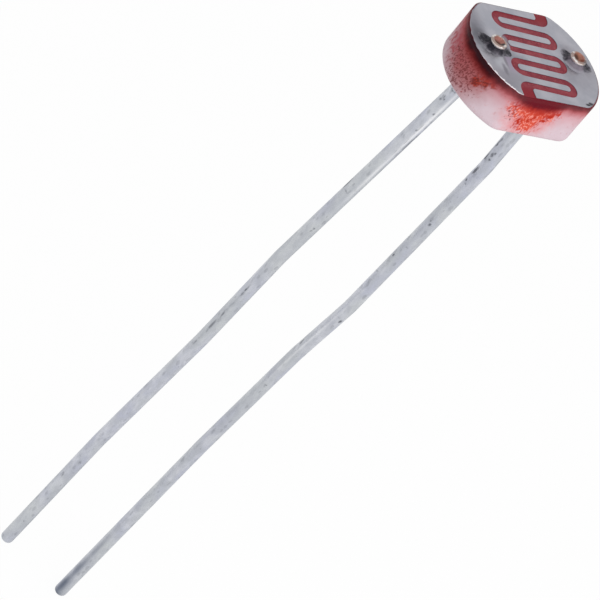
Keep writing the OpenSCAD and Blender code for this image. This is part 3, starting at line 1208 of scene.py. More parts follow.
@dataclass(frozen=True)
class CopperCoreFinish(Finish):
    """Cut copper core in the middle of a stub."""

    name = "copper_core"
    bright: Colour = paint(156, 104, 96)
    brown: Colour = paint(138, 88, 78)
    # Painted shade: dark brown and dark spots where the hollow of each dimple lies in shadow.
    shades: tuple[Stain, ...] = (
        Stain(Patch((-1.75, -0.05, 1.95), (0.13, 0.14, 0.2), 0.4, 0.4, 7.0), paint(78, 42, 24), 0.95),
        Stain(Patch((-1.57, -0.12, 1.96), (0.08, 0.08, 0.2), 0.5, 0.3, 8.0), paint(52, 48, 46)),
        Stain(Patch((1.7, 0.06, 1.93), (0.16, 0.24, 0.2), 0.6, 0.4, 6.0), paint(134, 90, 70), 0.85),
        Stain(Patch((1.65, 0.07, 1.95), (0.09, 0.1, 0.2), 0.5, 0.4, 7.0), paint(66, 34, 20), 0.95),
        Stain(Patch((1.83, -0.09, 1.96), (0.07, 0.07, 0.2), 0.5, 0.3, 8.0), paint(112, 54, 36), 0.9),
    )
    cloud: Cloud = Cloud(6.0, 0.12)
    metallic: float = 0.6
    roughness: Ease = Ease(0.0, 1.0, 0.35, 0.5)
    relief: Relief = Relief(12.0, 50.0, 0.4)
    relief_depth: float = 0.01
    relief_strength: float = 0.6

    def lay(self, sheet: Sheet) -> dict[str, Feed]:
        """Lays bright and browned copper and the painted shade in the dimples.

        Args:
            sheet: Sheet of the material.

        Returns:
            What feeds the shader, by socket.
        """
        cloud = self.cloud.mask(sheet)
        return {
            "Base Color": lay_stains(sheet, self.shades, sheet.mix(cloud, self.bright, self.brown)),
            "Metallic": self.metallic,
            "Roughness": self.roughness.of(sheet, cloud),
            "Normal": self.normal(sheet, self.relief.mask(sheet)),
        }


@dataclass(frozen=True)
class PasteFinish(Finish):
    """Conductive paste: as pale as the metal where it is thin, nearly black in its dark pools, which are
    partly painted shadow.
    """

    name = "conductive_paste"
    dark: Colour = paint(26, 24, 34)
    grey: Colour = paint(104, 99, 108)
    pale: Colour = paint(124, 116, 126)
    thin: Colour = paint(146, 143, 152)
    gloss: float = 0.15
    cloud: Cloud = Cloud(3.0, 0.16)
    fine: Cloud = Cloud(9.0, 0.25)
    thins_out: Ease = Ease(1.81, 1.75)
    pool_swing: float = 0.35
    pool_shows: Ease = Ease(0.0, 1.0)
    roughness: Ease = Ease(0.0, 1.0, 0.45, 0.6)
    relief: Relief = Relief(10.0, 40.0, 0.4)
    relief_depth: float = 0.015
    relief_strength: float = 0.7

    def lay(self, sheet: Sheet) -> dict[str, Feed]:
        """Lays grey paste, its thin smears and its dark pools, which are partly painted shadow.

        Args:
            sheet: Sheet of the material.

        Returns:
            What feeds the shader, by socket.
        """
        cloud = self.cloud.mask(sheet)
        # Dark paste pools, partly painted shadow round the stub.
        pool = sheet.plus(sheet.painted("pool"), sheet.swing(self.fine.mask(sheet), self.pool_swing))
        colour = sheet.mix(cloud, self.grey, self.pale)
        colour = sheet.mix(self.thins_out.of(sheet, sheet.axis("Z")), colour, self.thin)
        return {
            "Base Color": sheet.mix(self.pool_shows.of(sheet, pool), colour, self.dark),
            "Specular IOR Level": self.gloss,
            "Roughness": self.roughness.of(sheet, cloud),
            "Normal": self.normal(sheet, self.relief.mask(sheet)),
        }


@dataclass
class CeramicBody:
    """The pressed ceramic disc with its two lead holes."""

    sizes: PartSizes
    side_step: float = 0.034
    bottom_rows: int = 9
    hole_edge: float = 0.03
    unevenness: float = 0.006
    waves: tuple[Unevenness, ...] = (Unevenness(1.4, 11, 0.6), Unevenness(0.35, 12, 0.25))

    def build(self) -> Piece:
        """Builds the disc as one closed mesh.

        Returns:
            The piece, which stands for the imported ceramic.
        """
        sizes = self.sizes
        draft = MeshDraft()
        side_rows = round((sizes.rim_foot - sizes.bottom_edge_r) / self.side_step)
        levels = rounded_steps(sizes.bottom_edge_r, self.bottom_rows)[:0:-1]
        levels += [(0.0, z) for z in np.linspace(sizes.bottom_edge_r, sizes.rim_foot, side_rows)]
        levels.append((sizes.chamfer, sizes.ceramic_top))
        rings = [self.side_ring(draft, inset, z) for inset, z in levels]
        draft.wall(rings)
        feet, tops = zip(*(draft.bore(self.hole(side)) for side in Side))
        draft.plate([rings[0], *feet], faces_up=False)
        draft.plate([rings[-1], *tops], faces_up=True)
        return draft.make("pressed_ceramic", "ceramic_base", Slot.CERAMIC)

    def side_ring(self, draft: MeshDraft, inset: float, z: float) -> list[int]:
        """Adds one ring of the side, a little uneven between its foot and the rim.

        Args:
            draft: Mesh of the disc.
            inset: Distance to the full outline.
            z: Height of the ring.

        Returns:
            The numbers of its points.
        """
        loop = self.sizes.outline.loop(inset)
        points = np.column_stack([loop, np.full(len(loop), z)])
        share = math.sin(math.pi * min(max(z / self.sizes.rim_foot, 0.0), 1.0))
        wave = sum(layer.at(points) for layer in self.waves)
        outward = loop / np.linalg.norm(loop, axis=1)[:, None]
        points[:, :2] -= outward * (self.unevenness * share * (1 + wave) / 2)[:, None]
        return draft.ring(points)

    def hole(self, side: Side) -> list[tuple[np.ndarray, float]]:
        """Lays out one lead hole with a softened edge below.

        Args:
            side: Which hole.

        Returns:
            Loop and height of each level, from the foot up.
        """
        true = self.sizes.hole(side)
        wide = self.sizes.hole(side, self.hole_edge)
        return [(wide, 0.0), (true, self.hole_edge), (true, self.sizes.ceramic_top)]

    def dress(self, piece: Piece) -> None:
        """Gives the disc its ceramic finish."""
        piece.data.materials.append(CeramicFinish().make())


@dataclass
class PhotoconductorFilm:
    """The fired film over the top and the chamfered rim of the ceramic."""

    sizes: PartSizes
    edge_rows: int = 8

    def build(self) -> Piece:
        """Builds the film as one closed mesh.

        Returns:
            The piece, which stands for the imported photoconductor.
        """
        sizes = self.sizes
        low, high = sizes.ceramic_top, sizes.layer_top
        levels = [(sizes.chamfer, low), (0.0, sizes.rim_foot)]
        levels += [(inset, high - drop) for inset, drop in rounded_steps(sizes.layer_edge_r, self.edge_rows)]
        draft = MeshDraft()
        rings = [draft.level_ring(sizes.outline.loop(inset), z) for inset, z in levels]
        draft.wall(rings)
        holes = [sizes.hole(side) for side in Side]
        feet, tops = zip(*(draft.bore([(loop, low), (loop, high)]) for loop in holes))
        draft.plate([rings[0], *feet], faces_up=False)
        draft.plate([rings[-1], *tops], faces_up=True)
        return draft.make("photoconductor_film", "photoconductor_layer", Slot.PHOTOCONDUCTOR)

    def dress(self, piece: Piece) -> None:
        """Gives the film its red-brown finish."""
        piece.data.materials.append(PhotoconductorFinish().make())


@dataclass
class CombFilm:
    """The two metal combs on either side of the meandering bare track.

    The lap over the rim has a plain and an uneven share, each as it is elsewhere and what the left side
    adds. The rim gap is how many points of the rim are left out beside each end of the track's edge.
    """

    sizes: PartSizes
    runs: int = 7
    pitch: float = 0.525
    track_w: float = 0.26
    half_length: float = 1.25
    turn: float = -2.4
    shift: float = 0.05
    end_x: float = 0.76
    end_w: float = 0.51
    end_r: float = 0.44
    inner_r: float = 0.13
    lip_turn: float = 34.0
    edge_r: float = 0.008
    edge_rows: int = 6
    wall_rows: int = 3
    arc_points: int = 22
    rim_gap: int = 1
    left_from: float = 1.2
    plain_lap: tuple[float, float] = (0.15, 0.45)
    uneven_lap: tuple[float, float] = (0.12, 0.23)
    waves: Unevenness = Unevenness(0.3, 71)

    def run_y(self, index: int) -> float:
        """Place of a run across the face, counted from the far flat."""
        return ((self.runs - 1) / 2 - index) * self.pitch

    def track_edge(self) -> np.ndarray:
        """Edge of the left comb along the track, from the far flat to the near one, not yet turned.

        Returns:
            One point of X and Y in each row; the first and the last lie outside the body.
        """
        half_w = self.track_w / 2
        turn_x = self.half_length - self.pitch / 2 - half_w
        outside = self.sizes.body_r
        far_corner = (self.end_x - self.inner_r, self.run_y(0) + half_w + self.inner_r)
        near_x = -(self.end_x + self.end_w)
        near_corner = (near_x + self.end_r, self.run_y(self.runs - 1) + half_w - self.end_r)
        edge = [np.array([[self.end_x, outside]]), arc(far_corner, self.inner_r, 0, -90, self.arc_points)]
        for i in range(self.runs - 1):
            middle = self.run_y(i) - self.pitch / 2
            if i % 2 == 0:
                edge.append(arc((-turn_x, middle), self.pitch / 2 + half_w, 90, 270, self.arc_points))
            else:
                edge.append(arc((turn_x, middle), self.pitch / 2 - half_w, 90, -90, self.arc_points))
        edge.append(arc(near_corner, self.end_r, 90, 180, self.arc_points))
        edge.append(np.array([[near_x, -outside]]))
        return np.vstack(edge)

    def left_outline(self, shift: float) -> tuple[np.ndarray, np.ndarray]:
        """Outline of the left comb, counter-clockwise, and how far each of its points lies on the rim.

        Args:
            shift: Shift of the meander towards the far flat.

        Returns:
            The points of the outline, and a share for each: 1 on the rim of the body and 0 along the track.
        """
        angle = math.radians(self.turn)
        turned = np.array([[math.cos(angle), math.sin(angle)], [-math.sin(angle), math.cos(angle)]])
        edge = self.track_edge() @ turned + [0.0, shift]
        outline = self.sizes.outline.loop(self.sizes.film_margin)
        far, edge[0] = self.crossing(outline, edge[1], edge[0])
        near, edge[-1] = self.crossing(outline, edge[-2], edge[-1])
        first = far + 1 + self.rim_gap
        count = (near - far) % len(outline) - 2 * self.rim_gap
        rim = np.roll(outline, -first, axis=0)[:count]
        share = np.concatenate([np.ones(len(rim)), np.zeros(len(edge))])
        return np.vstack([rim, edge[::-1]]), share

    def crossing(self, outline: np.ndarray, inner: np.ndarray, outer: np.ndarray) -> tuple[int, np.ndarray]:
        """Finds where a line leaves an outline.

        Args:
            outline: Closed outline, one point in each row.
            inner: Start of the line, inside.
            outer: End of the line, outside.

        Returns:
            Number of the outline's point before the crossing, and the crossing.
        """
        step = np.roll(outline, -1, axis=0) - outline
        line = outer - inner
        gap = inner - outline
        width = step[:, 0] * line[1] - step[:, 1] * line[0]
        width = np.where(np.abs(width) < PARALLEL, PARALLEL, width)
        along = (gap[:, 0] * line[1] - gap[:, 1] * line[0]) / width
        out = (gap[:, 0] * step[:, 1] - gap[:, 1] * step[:, 0]) / width
        hit = int(np.argmax((along >= 0) & (along < 1) & (out > 0)))
        return hit, inner + out[hit] * line

    def lap(self, outline: np.ndarray, side: Side) -> np.ndarray:
        """Share of the full lap over the rim: much on the left side, little elsewhere, and uneven.

        Args:
            outline: Outline of a comb.
            side: Which comb.

        Returns:
            One share for each point of the outline.
        """
        left = np.clip(-outline[:, 0] - self.left_from, 0, 1)
        plain, uneven = (start + more * left for start, more in (self.plain_lap, self.uneven_lap))
        return np.clip(plain + uneven * np.clip(self.waves.at(outline, side.value), -1, 1), 0, 1)

    def edge_steps(self, thickness: float) -> list[tuple[tuple[float, float], tuple[float, float]]]:
        """Steps from the top of the film round its edge to its underside.

        Args:
            thickness: Thickness of the film.

        Returns:
            For each step, the way out and the drop from the top, each on the rim and along the track.
        """
        under_r = self.sizes.layer_edge_r
        over_r = under_r + thickness
        edge = self.edge_r
        wall = thickness - edge
        full_turn = math.radians(self.lip_turn)
        steps = []
        for k in range(self.edge_rows + 1):
            turn = full_turn * k / self.edge_rows
            bevel = math.pi / 2 * k / self.edge_rows
            out = (over_r * math.sin(turn), edge * (math.sin(bevel) - 1))
            drop = (over_r * (1 - math.cos(turn)), edge * (1 - math.cos(bevel)))
            steps.append((out, drop))
        for k in range(self.wall_rows):
            turn = full_turn * (1 - k / (self.wall_rows - 1))
            out = (under_r * math.sin(turn), 0.0)
            drop = (thickness + under_r * (1 - math.cos(turn)), edge + wall * (k + 1) / self.wall_rows)
            steps.append((out, drop))
        return steps

    def build(self, side: Side) -> Piece:
        """Builds one comb, with its edge rounded along the track and lapped over the rim of the body.

        Args:
            side: Which comb; the right one is the left one turned half round.

        Returns:
            The piece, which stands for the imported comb.
        """
        low, high = self.sizes.layer_top, self.sizes.film_top
        outline, share = self.left_outline(-side.value * self.shift)
        if side is Side.RIGHT:
            outline = -outline
        share *= self.lap(outline, side)
        ahead = np.roll(outline, -1, axis=0) - np.roll(outline, 1, axis=0)
        outward = np.column_stack([ahead[:, 1], -ahead[:, 0]]) / np.linalg.norm(ahead, axis=1)[:, None]
        draft = MeshDraft()
        rings = []
        for out, drop in self.edge_steps(high - low):
            loop = outline + outward * (share * out[0] + (1 - share) * out[1])[:, None]
            z = high - (share * drop[0] + (1 - share) * drop[1])
            rings.append(draft.ring(np.column_stack([loop, z])))
        draft.wall(rings, rising=False)
        hole = self.sizes.hole(side)
        foot, top = draft.bore([(hole, low), (hole, high)])
        draft.plate([rings[0], top], faces_up=True)
        draft.plate([rings[-1], foot], faces_up=False)
        return draft.make("metal_comb_" + side.word, "electrode_" + side.word, Slot.METAL_FILM)

    def dress(self, pieces: list[Piece]) -> None:
        """Gives both combs their satin metal finish.

        Args:
            pieces: The combs.
        """
        finish = MetalFilmFinish().make()
        for piece in pieces:
            piece.data.materials.append(finish)


@dataclass(frozen=True)
class Bend:
    """A bend of a lead.

    It lies some distance below the underside along the wire and turns to the far flat by some degrees.
    """

    distance: float
    turn: float


@dataclass(frozen=True)
class Stretch:
    """A straight or bent stretch of wire: its start along the wire, and Y, Z and the lean of the wire there.

    The lean and the turn over the whole stretch are in radians, to the far flat.
    """

    start: float
    place: np.ndarray
    lean: float
    length: float
    turn: float = 0.0

    def follow(self, distances: np.ndarray) -> tuple[np.ndarray, np.ndarray]:
        """Follows the stretch.

        Args:
            distances: Distances along the wire.

        Returns:
            Y and Z of the wire's middle at each distance, and its lean there.
        """
        gone = (distances - self.start)[:, None]
        ahead = np.array([math.sin(self.lean), -math.cos(self.lean)])
        if self.turn == 0:
            return self.place + gone * ahead, np.full(len(distances), self.lean)
        across = np.array([math.cos(self.lean), math.sin(self.lean)])
        turned = self.turn * np.minimum(gone / self.length, 1)
        bend_r = self.length / self.turn
        middle = self.place + bend_r * (np.sin(turned) * ahead + (1 - np.cos(turned)) * across)
        return middle, self.lean + turned[:, 0]

    def then(self, length: float, turn: float = 0.0) -> "Stretch":
        """Gives the stretch that comes after this one.

        Args:
            length: Its length.
            turn: Its turn.

        Returns:
            The next stretch.
        """
        end = self.start + self.length
        middle, lean = self.follow(np.array([end]))
        return Stretch(end, middle[0], lean[0], length, turn)


@dataclass(frozen=True)
class Mark:
    """A dent, a stain, a band of painted shade or a painted highlight on a lead, with the strength of its
    colour.

    It lies some distance below the underside along the wire and some degrees round it from +X, through +Y.
    """

    along: float
    around: float
    length: float = 0.07
    width: float = 0.06
    depth: float = 0.008
    strength: float = 0.8


@dataclass
class Lead:
    """One wire lead: a stub with a dimpled copper core, a run through the body and bent wire below."""

    sizes: PartSizes
    side: Side
    length: float
    bends: tuple[Bend, ...]
    pits: tuple[Mark, ...]
    gleam: tuple[Mark, ...]
    tarnish: tuple[Mark, ...]
    bend_r: float = 1.6
    tip_r: float = 0.14
    tip_crown: float = 0.01
    tip_rows: int = 8
    head_h: float = 0.1
    head_edge_r: float = 0.035
    head_rows: int = 6
    dimple_r: float = 0.21
    dimple_depth: float = 0.09
    dimple_rows: int = 6
    ring_step: float = 0.045
    ring_points: int = 44
    unevenness: float = 0.003
    uneven_from: float = 0.3
    drawn_out: float = 0.5
    waves: tuple[Unevenness, ...] = (Unevenness(1.1, 21, 0.6), Unevenness(0.35, 31, 0.3))

    def stretches(self) -> list[Stretch]:
        """Lays the middle of the wire out from the top of the stub to the tip.

        Returns:
            Its stretches, in order.
        """
        top = self.sizes.stub_top
        made = [Stretch(0.0, np.array([0.0, top]), 0.0, 0.0)]
        reached = -top
        for bend in self.bends:
            turn = math.radians(bend.turn)
            cut = self.bend_r * math.tan(abs(turn) / 2)
            made.append(made[-1].then(bend.distance - cut - reached))
            made.append(made[-1].then(self.bend_r * abs(turn), turn))
            reached = bend.distance + cut
        made.append(made[-1].then(self.length - reached))
        return made

    def path(self, distances: np.ndarray) -> tuple[np.ndarray, np.ndarray]:
        """Follows the middle of the wire down from the top of the stub.

        Args:
            distances: Distances from the top of the stub, along the wire.

        Returns:
            Y and Z of the middle at each distance, and the wire's lean there in radians.
        """
        middle = np.zeros((len(distances), 2))
        lean = np.zeros(len(distances))
        for stretch in self.stretches():
            here = distances >= stretch.start
            middle[here], lean[here] = stretch.follow(distances[here])
        return middle, lean

    def profile(self) -> np.ndarray:
        """Radius of the wire from its dimple, over its head, to its tip.

        Returns:
            Rows of distance from the top of the stub and radius, those of the dimple first.
        """
        wire_r, head_r = self.sizes.wire_r, self.sizes.head_r
        last = self.stretches()[-1]
        end = last.start + last.length - self.tip_r
        ball_r = (self.dimple_r**2 + self.dimple_depth**2) / (2 * self.dimple_depth)
        across = self.dimple_r * np.arange(1, self.dimple_rows + 1) / self.dimple_rows
        down = self.dimple_depth - ball_r + np.sqrt(ball_r**2 - across**2)
        edge = rounded_steps(self.head_edge_r, self.head_rows)
        head = [(inset, head_r - drop) for inset, drop in edge]
        head += [(self.head_h - drop, head_r - inset) for inset, drop in edge]
        run_rows = round((end - self.head_h) / self.ring_step)
        run = [(distance, wire_r) for distance in np.linspace(self.head_h, end, run_rows)]
        tip_edge = rounded_steps(self.tip_r, self.tip_rows)[1:]
        tip = [(end + self.tip_r - drop, wire_r - inset) for inset, drop in tip_edge]
        return np.array([*zip(down, across), *head, *run, *tip])

    def spread(self, mark: Mark, along: np.ndarray, around: np.ndarray) -> np.ndarray:
        """Share of a mark at each place on the wire, 1 in its middle."""
        apart = np.angle(np.exp(1j * (around - math.radians(mark.around)))) * self.sizes.wire_r
        return np.exp(-(((along - mark.along) / mark.length) ** 2) - (apart / mark.width) ** 2)

    def dents(self, along: np.ndarray, around: np.ndarray) -> np.ndarray:
        """How far the surface lies below the true wire, by its unevenness and its pits.

        Args:
            along: Distance below the underside of each place on the wire.
            around: Angle round the wire of each place.

        Returns:
            One depth for each place.
        """
        axes = (along * self.drawn_out, np.cos(around), np.sin(around))
        places = np.column_stack([axis.ravel() for axis in axes])
        rough = sum(layer.at(places, self.side.value) for layer in self.waves).reshape(along.shape)
        uneven = (along > self.uneven_from) * self.unevenness * (1 + rough) / 2
        return uneven + sum(mark.depth * self.spread(mark, along, around) for mark in self.pits)

    def painted(self, marks: tuple[Mark, ...], along: np.ndarray, around: np.ndarray) -> np.ndarray:
        """Mask of some marks, each with its strength.

        Args:
            marks: The marks.
            along: Distance below the underside of each place on the wire.
            around: Angle round the wire of each place.

        Returns:
            One value for each place, for the point in the dimple and for the point on the tip.
        """
        mask = np.zeros(along.shape)
        for mark in marks:
            mask = np.maximum(mask, mark.strength * self.spread(mark, along, around))
        return np.append(mask.ravel(), [0.0, mask[-1].mean()])

    def build(self) -> Piece:
        """Builds the lead as one closed mesh with its dents, and paints its masks.

        Returns:
            The piece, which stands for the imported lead.
        """
        distances, radii = self.profile().T
        middle, lean = self.path(np.maximum(distances, 0.0))
        turns = np.arange(self.ring_points) * math.tau / self.ring_points
        along, around = np.meshgrid(distances - self.sizes.stub_top, turns, indexing="ij")
        radius = radii[:, None] - self.dents(along, around)
        sideways = radius * np.sin(around)
        lead_x = self.sizes.wire_x(self.side)
        x = lead_x + radius * np.cos(around)
        y = middle[:, :1] + sideways * np.cos(lean)[:, None]
        z = middle[:, 1:] + sideways * np.sin(lean)[:, None]
        draft = MeshDraft()
        rings = [draft.ring(row) for row in np.stack([x, y, z], axis=-1)]
        draft.wall(rings[: self.dimple_rows], rising=False, material=1)
        draft.wall(rings[self.dimple_rows - 1 :], rising=False)
        draft.fan(rings[0], (lead_x, 0.0, self.sizes.stub_top - self.dimple_depth), material=1)
        tip_y, tip_z = middle[-1] + self.tip_crown * np.array([math.sin(lean[-1]), -math.cos(lean[-1])])
        draft.fan(rings[-1][::-1], (lead_x, tip_y, tip_z))
        # Painted masks: pits with some painted shade, a painted highlight stripe and dark streaks.
        marks = {"pit": self.pits, "gleam": self.gleam, "tarnish": self.tarnish}
        draft.masks = {name: self.painted(some, along, around) for name, some in marks.items()}
        return draft.make("tinned_lead_" + self.side.word, "lead_" + self.side.word, Slot.WIRE)

    def dress(self, piece: Piece, wire: bpy.types.Material, core: bpy.types.Material) -> None:
        """Gives the lead its tinned finish and its copper core."""
        piece.data.materials.append(wire)
        piece.data.materials.append(core)


@dataclass(frozen=True)
class Lobe:
    """A round smear of paste, or a dark pool in it that is partly painted shadow: offset from the wire,
    radius and darkness.
    """

    x: float
    y: float
    radius: float
    darkness: float = 1.0


@dataclass
class PasteDab:
    """Conductive paste round one stub: a collar that climbs the wire, smears beside it and dark pools that
    are partly painted shadow.
    """

    sizes: PartSizes
    side: Side
    smears: tuple[Lobe, ...]
    pools: tuple[Lobe, ...]
    collar_r: float = 0.43
    collar_h: float = 0.16
    collar_curve: float = 1.2
    smear_h: float = 0.03
    least_w: float = 0.05
    edge_sink: float = 0.001
    track_reach: float = 1.26
    around_points: int = 120
    rows: int = 22
    soft_points: int = 4
    soft_reach: float = 2.0
    raggedness: float = 0.012
    edge_waves: tuple[Unevenness, ...] = (Unevenness(0.9, 41), Unevenness(0.3, 51, 0.5))
    lumps: Unevenness = Unevenness(0.25, 61, 0.35)
    pool_core: float = 1.4
    pool_fade: float = 0.8

    def reach(self, round_wire: np.ndarray) -> np.ndarray:
        """How far the paste reaches in each direction, ragged and softened.

        Args:
            round_wire: Directions round the wire, one in each row.

        Returns:
            Distance from the middle of the wire in each direction.
        """
        far = np.full(len(round_wire), self.collar_r)
        for smear in self.smears:
            toward = round_wire @ [smear.x, smear.y]
            inside = toward**2 - (smear.x**2 + smear.y**2 - smear.radius**2)
            far = np.where(inside > 0, np.maximum(far, toward + np.sqrt(np.maximum(inside, 0.0))), far)
        kernel = np.exp(-(np.linspace(-self.soft_reach, self.soft_reach, 2 * self.soft_points + 1) ** 2))
        wrapped = np.concatenate([far[-self.soft_points :], far, far[: self.soft_points]])
        soft = np.convolve(wrapped, kernel / kernel.sum(), mode="valid")
        ragged = sum(layer.at(round_wire, self.side.value) for layer in self.edge_waves)
        return np.maximum(soft + self.raggedness * ragged, self.sizes.wire_r + self.least_w)

    def darkness(self, flat: np.ndarray) -> np.ndarray:
        """Share of dark paste and painted shadow at some places.

        Args:
            flat: Offsets from the wire, one in each row.

        Returns:
            One share for each place.
        """
        share = np.zeros(len(flat))
        for pool in self.pools:
            away = np.linalg.norm(flat - [pool.x, pool.y], axis=1) / pool.radius
            share = np.maximum(share, pool.darkness * np.clip(self.pool_core - self.pool_fade * away, 0, 1))
        return share

    def build(self) -> Piece:
        """Builds the dab as one closed mesh on the metal film.

        Returns:
            The piece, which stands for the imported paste.
        """
        wire_r, film_top = self.sizes.wire_r, self.sizes.film_top
        angles = np.arange(self.around_points) * math.tau / self.around_points
        round_wire = np.column_stack([np.cos(angles), np.sin(angles)])
        centre = np.array([self.sizes.wire_x(self.side), 0.0])
        far = self.reach(round_wire)
        draft = MeshDraft()
        rings, dark = [], []
        for share in np.arange(self.rows + 1) / self.rows:
            radius = wire_r + (far - wire_r) * share
            climb = np.clip((self.collar_r - radius) / (self.collar_r - wire_r), 0, 1)
            flat = round_wire * radius[:, None]
            smear = self.smear_h * math.sqrt(1 - share**2) * (1 + self.lumps.at(flat, self.side.value))
            height = np.maximum(self.collar_h * climb**self.collar_curve, smear)
            rings.append(draft.ring(np.column_stack([flat + centre, film_top + height])))
            # Painted mask of dark paste and painted shadow.
            dark.append(self.darkness(flat))
        edge = round_wire * far[:, None] + centre
        over_track = np.abs(edge[:, 0]) < self.track_reach
        edge_z = np.where(over_track, self.sizes.layer_top, film_top - self.edge_sink)
        rings.append(draft.ring(np.column_stack([edge, edge_z])))
        foot = draft.level_ring(round_wire * wire_r + centre, film_top)
        draft.wall(rings, rising=False)
        draft.bridge(rings[0], foot)
        draft.bridge(foot, rings[-1])
        draft.masks = {"pool": np.concatenate([*dark, dark[-1], dark[0]])}
        return draft.make("paste_dab_" + self.side.word, "contact_paste_" + self.side.word, Slot.PASTE)

    def dress(self, piece: Piece, paste: bpy.types.Material) -> None:
        """Gives the dab its paste finish."""
        piece.data.materials.append(paste)


@dataclass(frozen=True)
class Stand:
    """Where a camera or a lamp stands: its direction from a target, its distance to it and its roll."""

    azimuth: float
    elevation: float
    distance: float
    target: Point = ORIGIN
    roll: float = 0.0

    def carry(self, name: str, data: bpy.types.ID) -> bpy.types.Object:
        """Makes an object for a camera or a lamp and sets it up.

        Args:
            name: Name of the object.
            data: The camera or lamp.

        Returns:
            The new object.
        """
        made = bpy.data.objects.new(name, data)
        bpy.context.scene.collection.objects.link(made)
        tilt = Euler((math.radians(90 - self.elevation), 0.0, math.radians(self.azimuth)))
        turn = tilt.to_matrix() @ Matrix.Rotation(math.radians(self.roll), 3, "Z")
        spot = (Vector(self.target) + turn @ Vector((0.0, 0.0, self.distance))) * MM
        made.matrix_world = Matrix.Translation(spot) @ turn.to_4x4()
        return made


@dataclass(frozen=True)
class StudioCamera:
    """The camera on its stand, with its lens and the range that it sees."""

    stand: Stand = Stand(-46.69, 35.01, 138.0, (0.69, 1.68, -12.82), 39.91)
    lens: float = 237.5
    nearest: float = 5.0
    farthest: float = 20000.0

    def place(self) -> None:
        """Makes the camera and hands it to the scene."""
        data = bpy.data.cameras.new("studio_camera")
        data.lens = self.lens
        data.clip_start = self.nearest * MM
        data.clip_end = self.farthest * MM
        bpy.context.scene.camera = self.stand.carry("studio_camera", data)


@dataclass(frozen=True)
class SoftLamp:
    """A square soft box on its stand."""

    name: str
    stand: Stand
    power: float
    width: float = 160.0

    def place(self) -> None:
        """Makes the lamp."""
        data = bpy.data.lights.new(self.name, "AREA")
        data.energy = self.power
        data.size = self.width * MM
        self.stand.carry(self.name, data)


@dataclass
class Studio:
    """White floor, white surround and soft lamps."""

    sizes: PartSizes
    floor_half: float = 3000.0
    floor_colour: Colour = (0.95, 0.95, 0.95, 1.0)
    floor_glow: float = 0.94
    ambient: float = 0.62
    lamps: tuple[SoftLamp, ...] = (
        SoftLamp("key_lamp", Stand(-25.0, 48.0, 250.0), 0.26),
        SoftLamp("side_lamp", Stand(25.0, 12.0, 250.0), 0.16),
    )

    def build(self) -> None:
        """Builds the floor, the surround and the lamps."""
        self.build_floor()
        self.build_world()
        for lamp in self.lamps:
            lamp.place()
        bpy.context.scene.view_settings.view_transform = "Standard"

    def show_white(self, sheet: Sheet, lit: bpy.types.Node, shown: bpy.types.Node, share: float) -> Socket:
        """Mixes two shaders: one that gives light, and a white one where it is seen.

        Args:
            sheet: Sheet of the material or world.
            lit: Shader that lights the part.
            shown: White shader that the camera, a reflection or a clear body sees.
            share: Share of the white shader there.

        Returns:
            The mixed shader.
        """
        path = sheet.node("LightPath")
        seen = sheet.larger(path.outputs["Is Camera Ray"], path.outputs["Is Glossy Ray"])
        seen = sheet.larger(seen, path.outputs["Is Transmission Ray"])
        feeds = {"Fac": sheet.times(seen, share), "Shader": lit.outputs[0], "Shader_001": shown.outputs[0]}
        return sheet.node("MixShader", feeds).outputs[0]

    def build_floor(self) -> None:
        """Builds the floor under the tips of the leads."""
        half, z = self.floor_half * MM, self.sizes.floor_z * MM
        corners = [(-half, -half, z), (half, -half, z), (half, half, z), (-half, half, z)]
        mesh = bpy.data.meshes.new("studio_floor")
        mesh.from_pydata(corners, [], [(0, 1, 2, 3)])
        floor = bpy.data.objects.new("studio_floor", mesh)
        bpy.context.scene.collection.objects.link(floor)
        material = bpy.data.materials.new("white_floor")
        material.use_nodes = True
        sheet = Sheet(material.node_tree)
        card = sheet.node("BsdfDiffuse", {"Color": self.floor_colour})
        glow = sheet.node("Emission", {"Color": WHITE, "Strength": 1.0})
        sheet.node("OutputMaterial", {"Surface": self.show_white(sheet, card, glow, self.floor_glow)})
        mesh.materials.append(material)
        floor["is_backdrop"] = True

    def build_world(self) -> None:
        """Builds the white surround, which lights the part less than it shows."""
        world = bpy.data.worlds.new("white_surround")
        world.use_nodes = True
        sheet = Sheet(world.node_tree)
        light = sheet.node("Background", {"Color": WHITE, "Strength": self.ambient})
        shown = sheet.node("Background", {"Color": WHITE, "Strength": 1.0})
        sheet.node("OutputWorld", {"Surface": self.show_white(sheet, light, shown, 1.0)})
        bpy.context.scene.world = world


# Paste round the two stubs, with places as offsets from the wire; the dark pools are partly painted shadow.
LEFT_SMEARS: tuple[Lobe, ...] = (
    Lobe(-0.3, 0.3, 0.27),
    Lobe(-0.12, -0.02, 0.34),
    Lobe(-0.27, -0.13, 0.22),
    Lobe(0.04, -0.24, 0.18),
    Lobe(0.4, -0.15, 0.22),
    Lobe(0.44, 0.16, 0.26),
)
LEFT_POOLS_AND_SHADOW: tuple[Lobe, ...] = (
    Lobe(-0.3, 0.28, 0.27),
    Lobe(-0.12, 0.34, 0.16, 0.9),
    Lobe(-0.18, -0.1, 0.24),
    Lobe(0.08, -0.23, 0.17, 0.85),
    Lobe(0.28, -0.22, 0.16, 0.8),
    Lobe(0.47, -0.18, 0.17, 0.9),
)
RIGHT_SMEARS: tuple[Lobe, ...] = (
    Lobe(-0.22, 0.38, 0.21),
    Lobe(-0.06, -0.08, 0.34),
    Lobe(-0.36, 0.12, 0.1),
    Lobe(0.42, -0.1, 0.24),
    Lobe(0.42, 0.1, 0.18),
)
RIGHT_POOLS_AND_SHADOW: tuple[Lobe, ...] = (
    Lobe(-0.14, 0.38, 0.2, 0.85),
    Lobe(-0.28, 0.26, 0.12, 0.8),
    # Painted shade: a dark line to the left of the collar.
    Lobe(-0.36, 0.1, 0.09, 0.7),
    Lobe(0.42, -0.08, 0.25, 0.8),
    Lobe(0.42, 0.1, 0.18, 0.95),
)
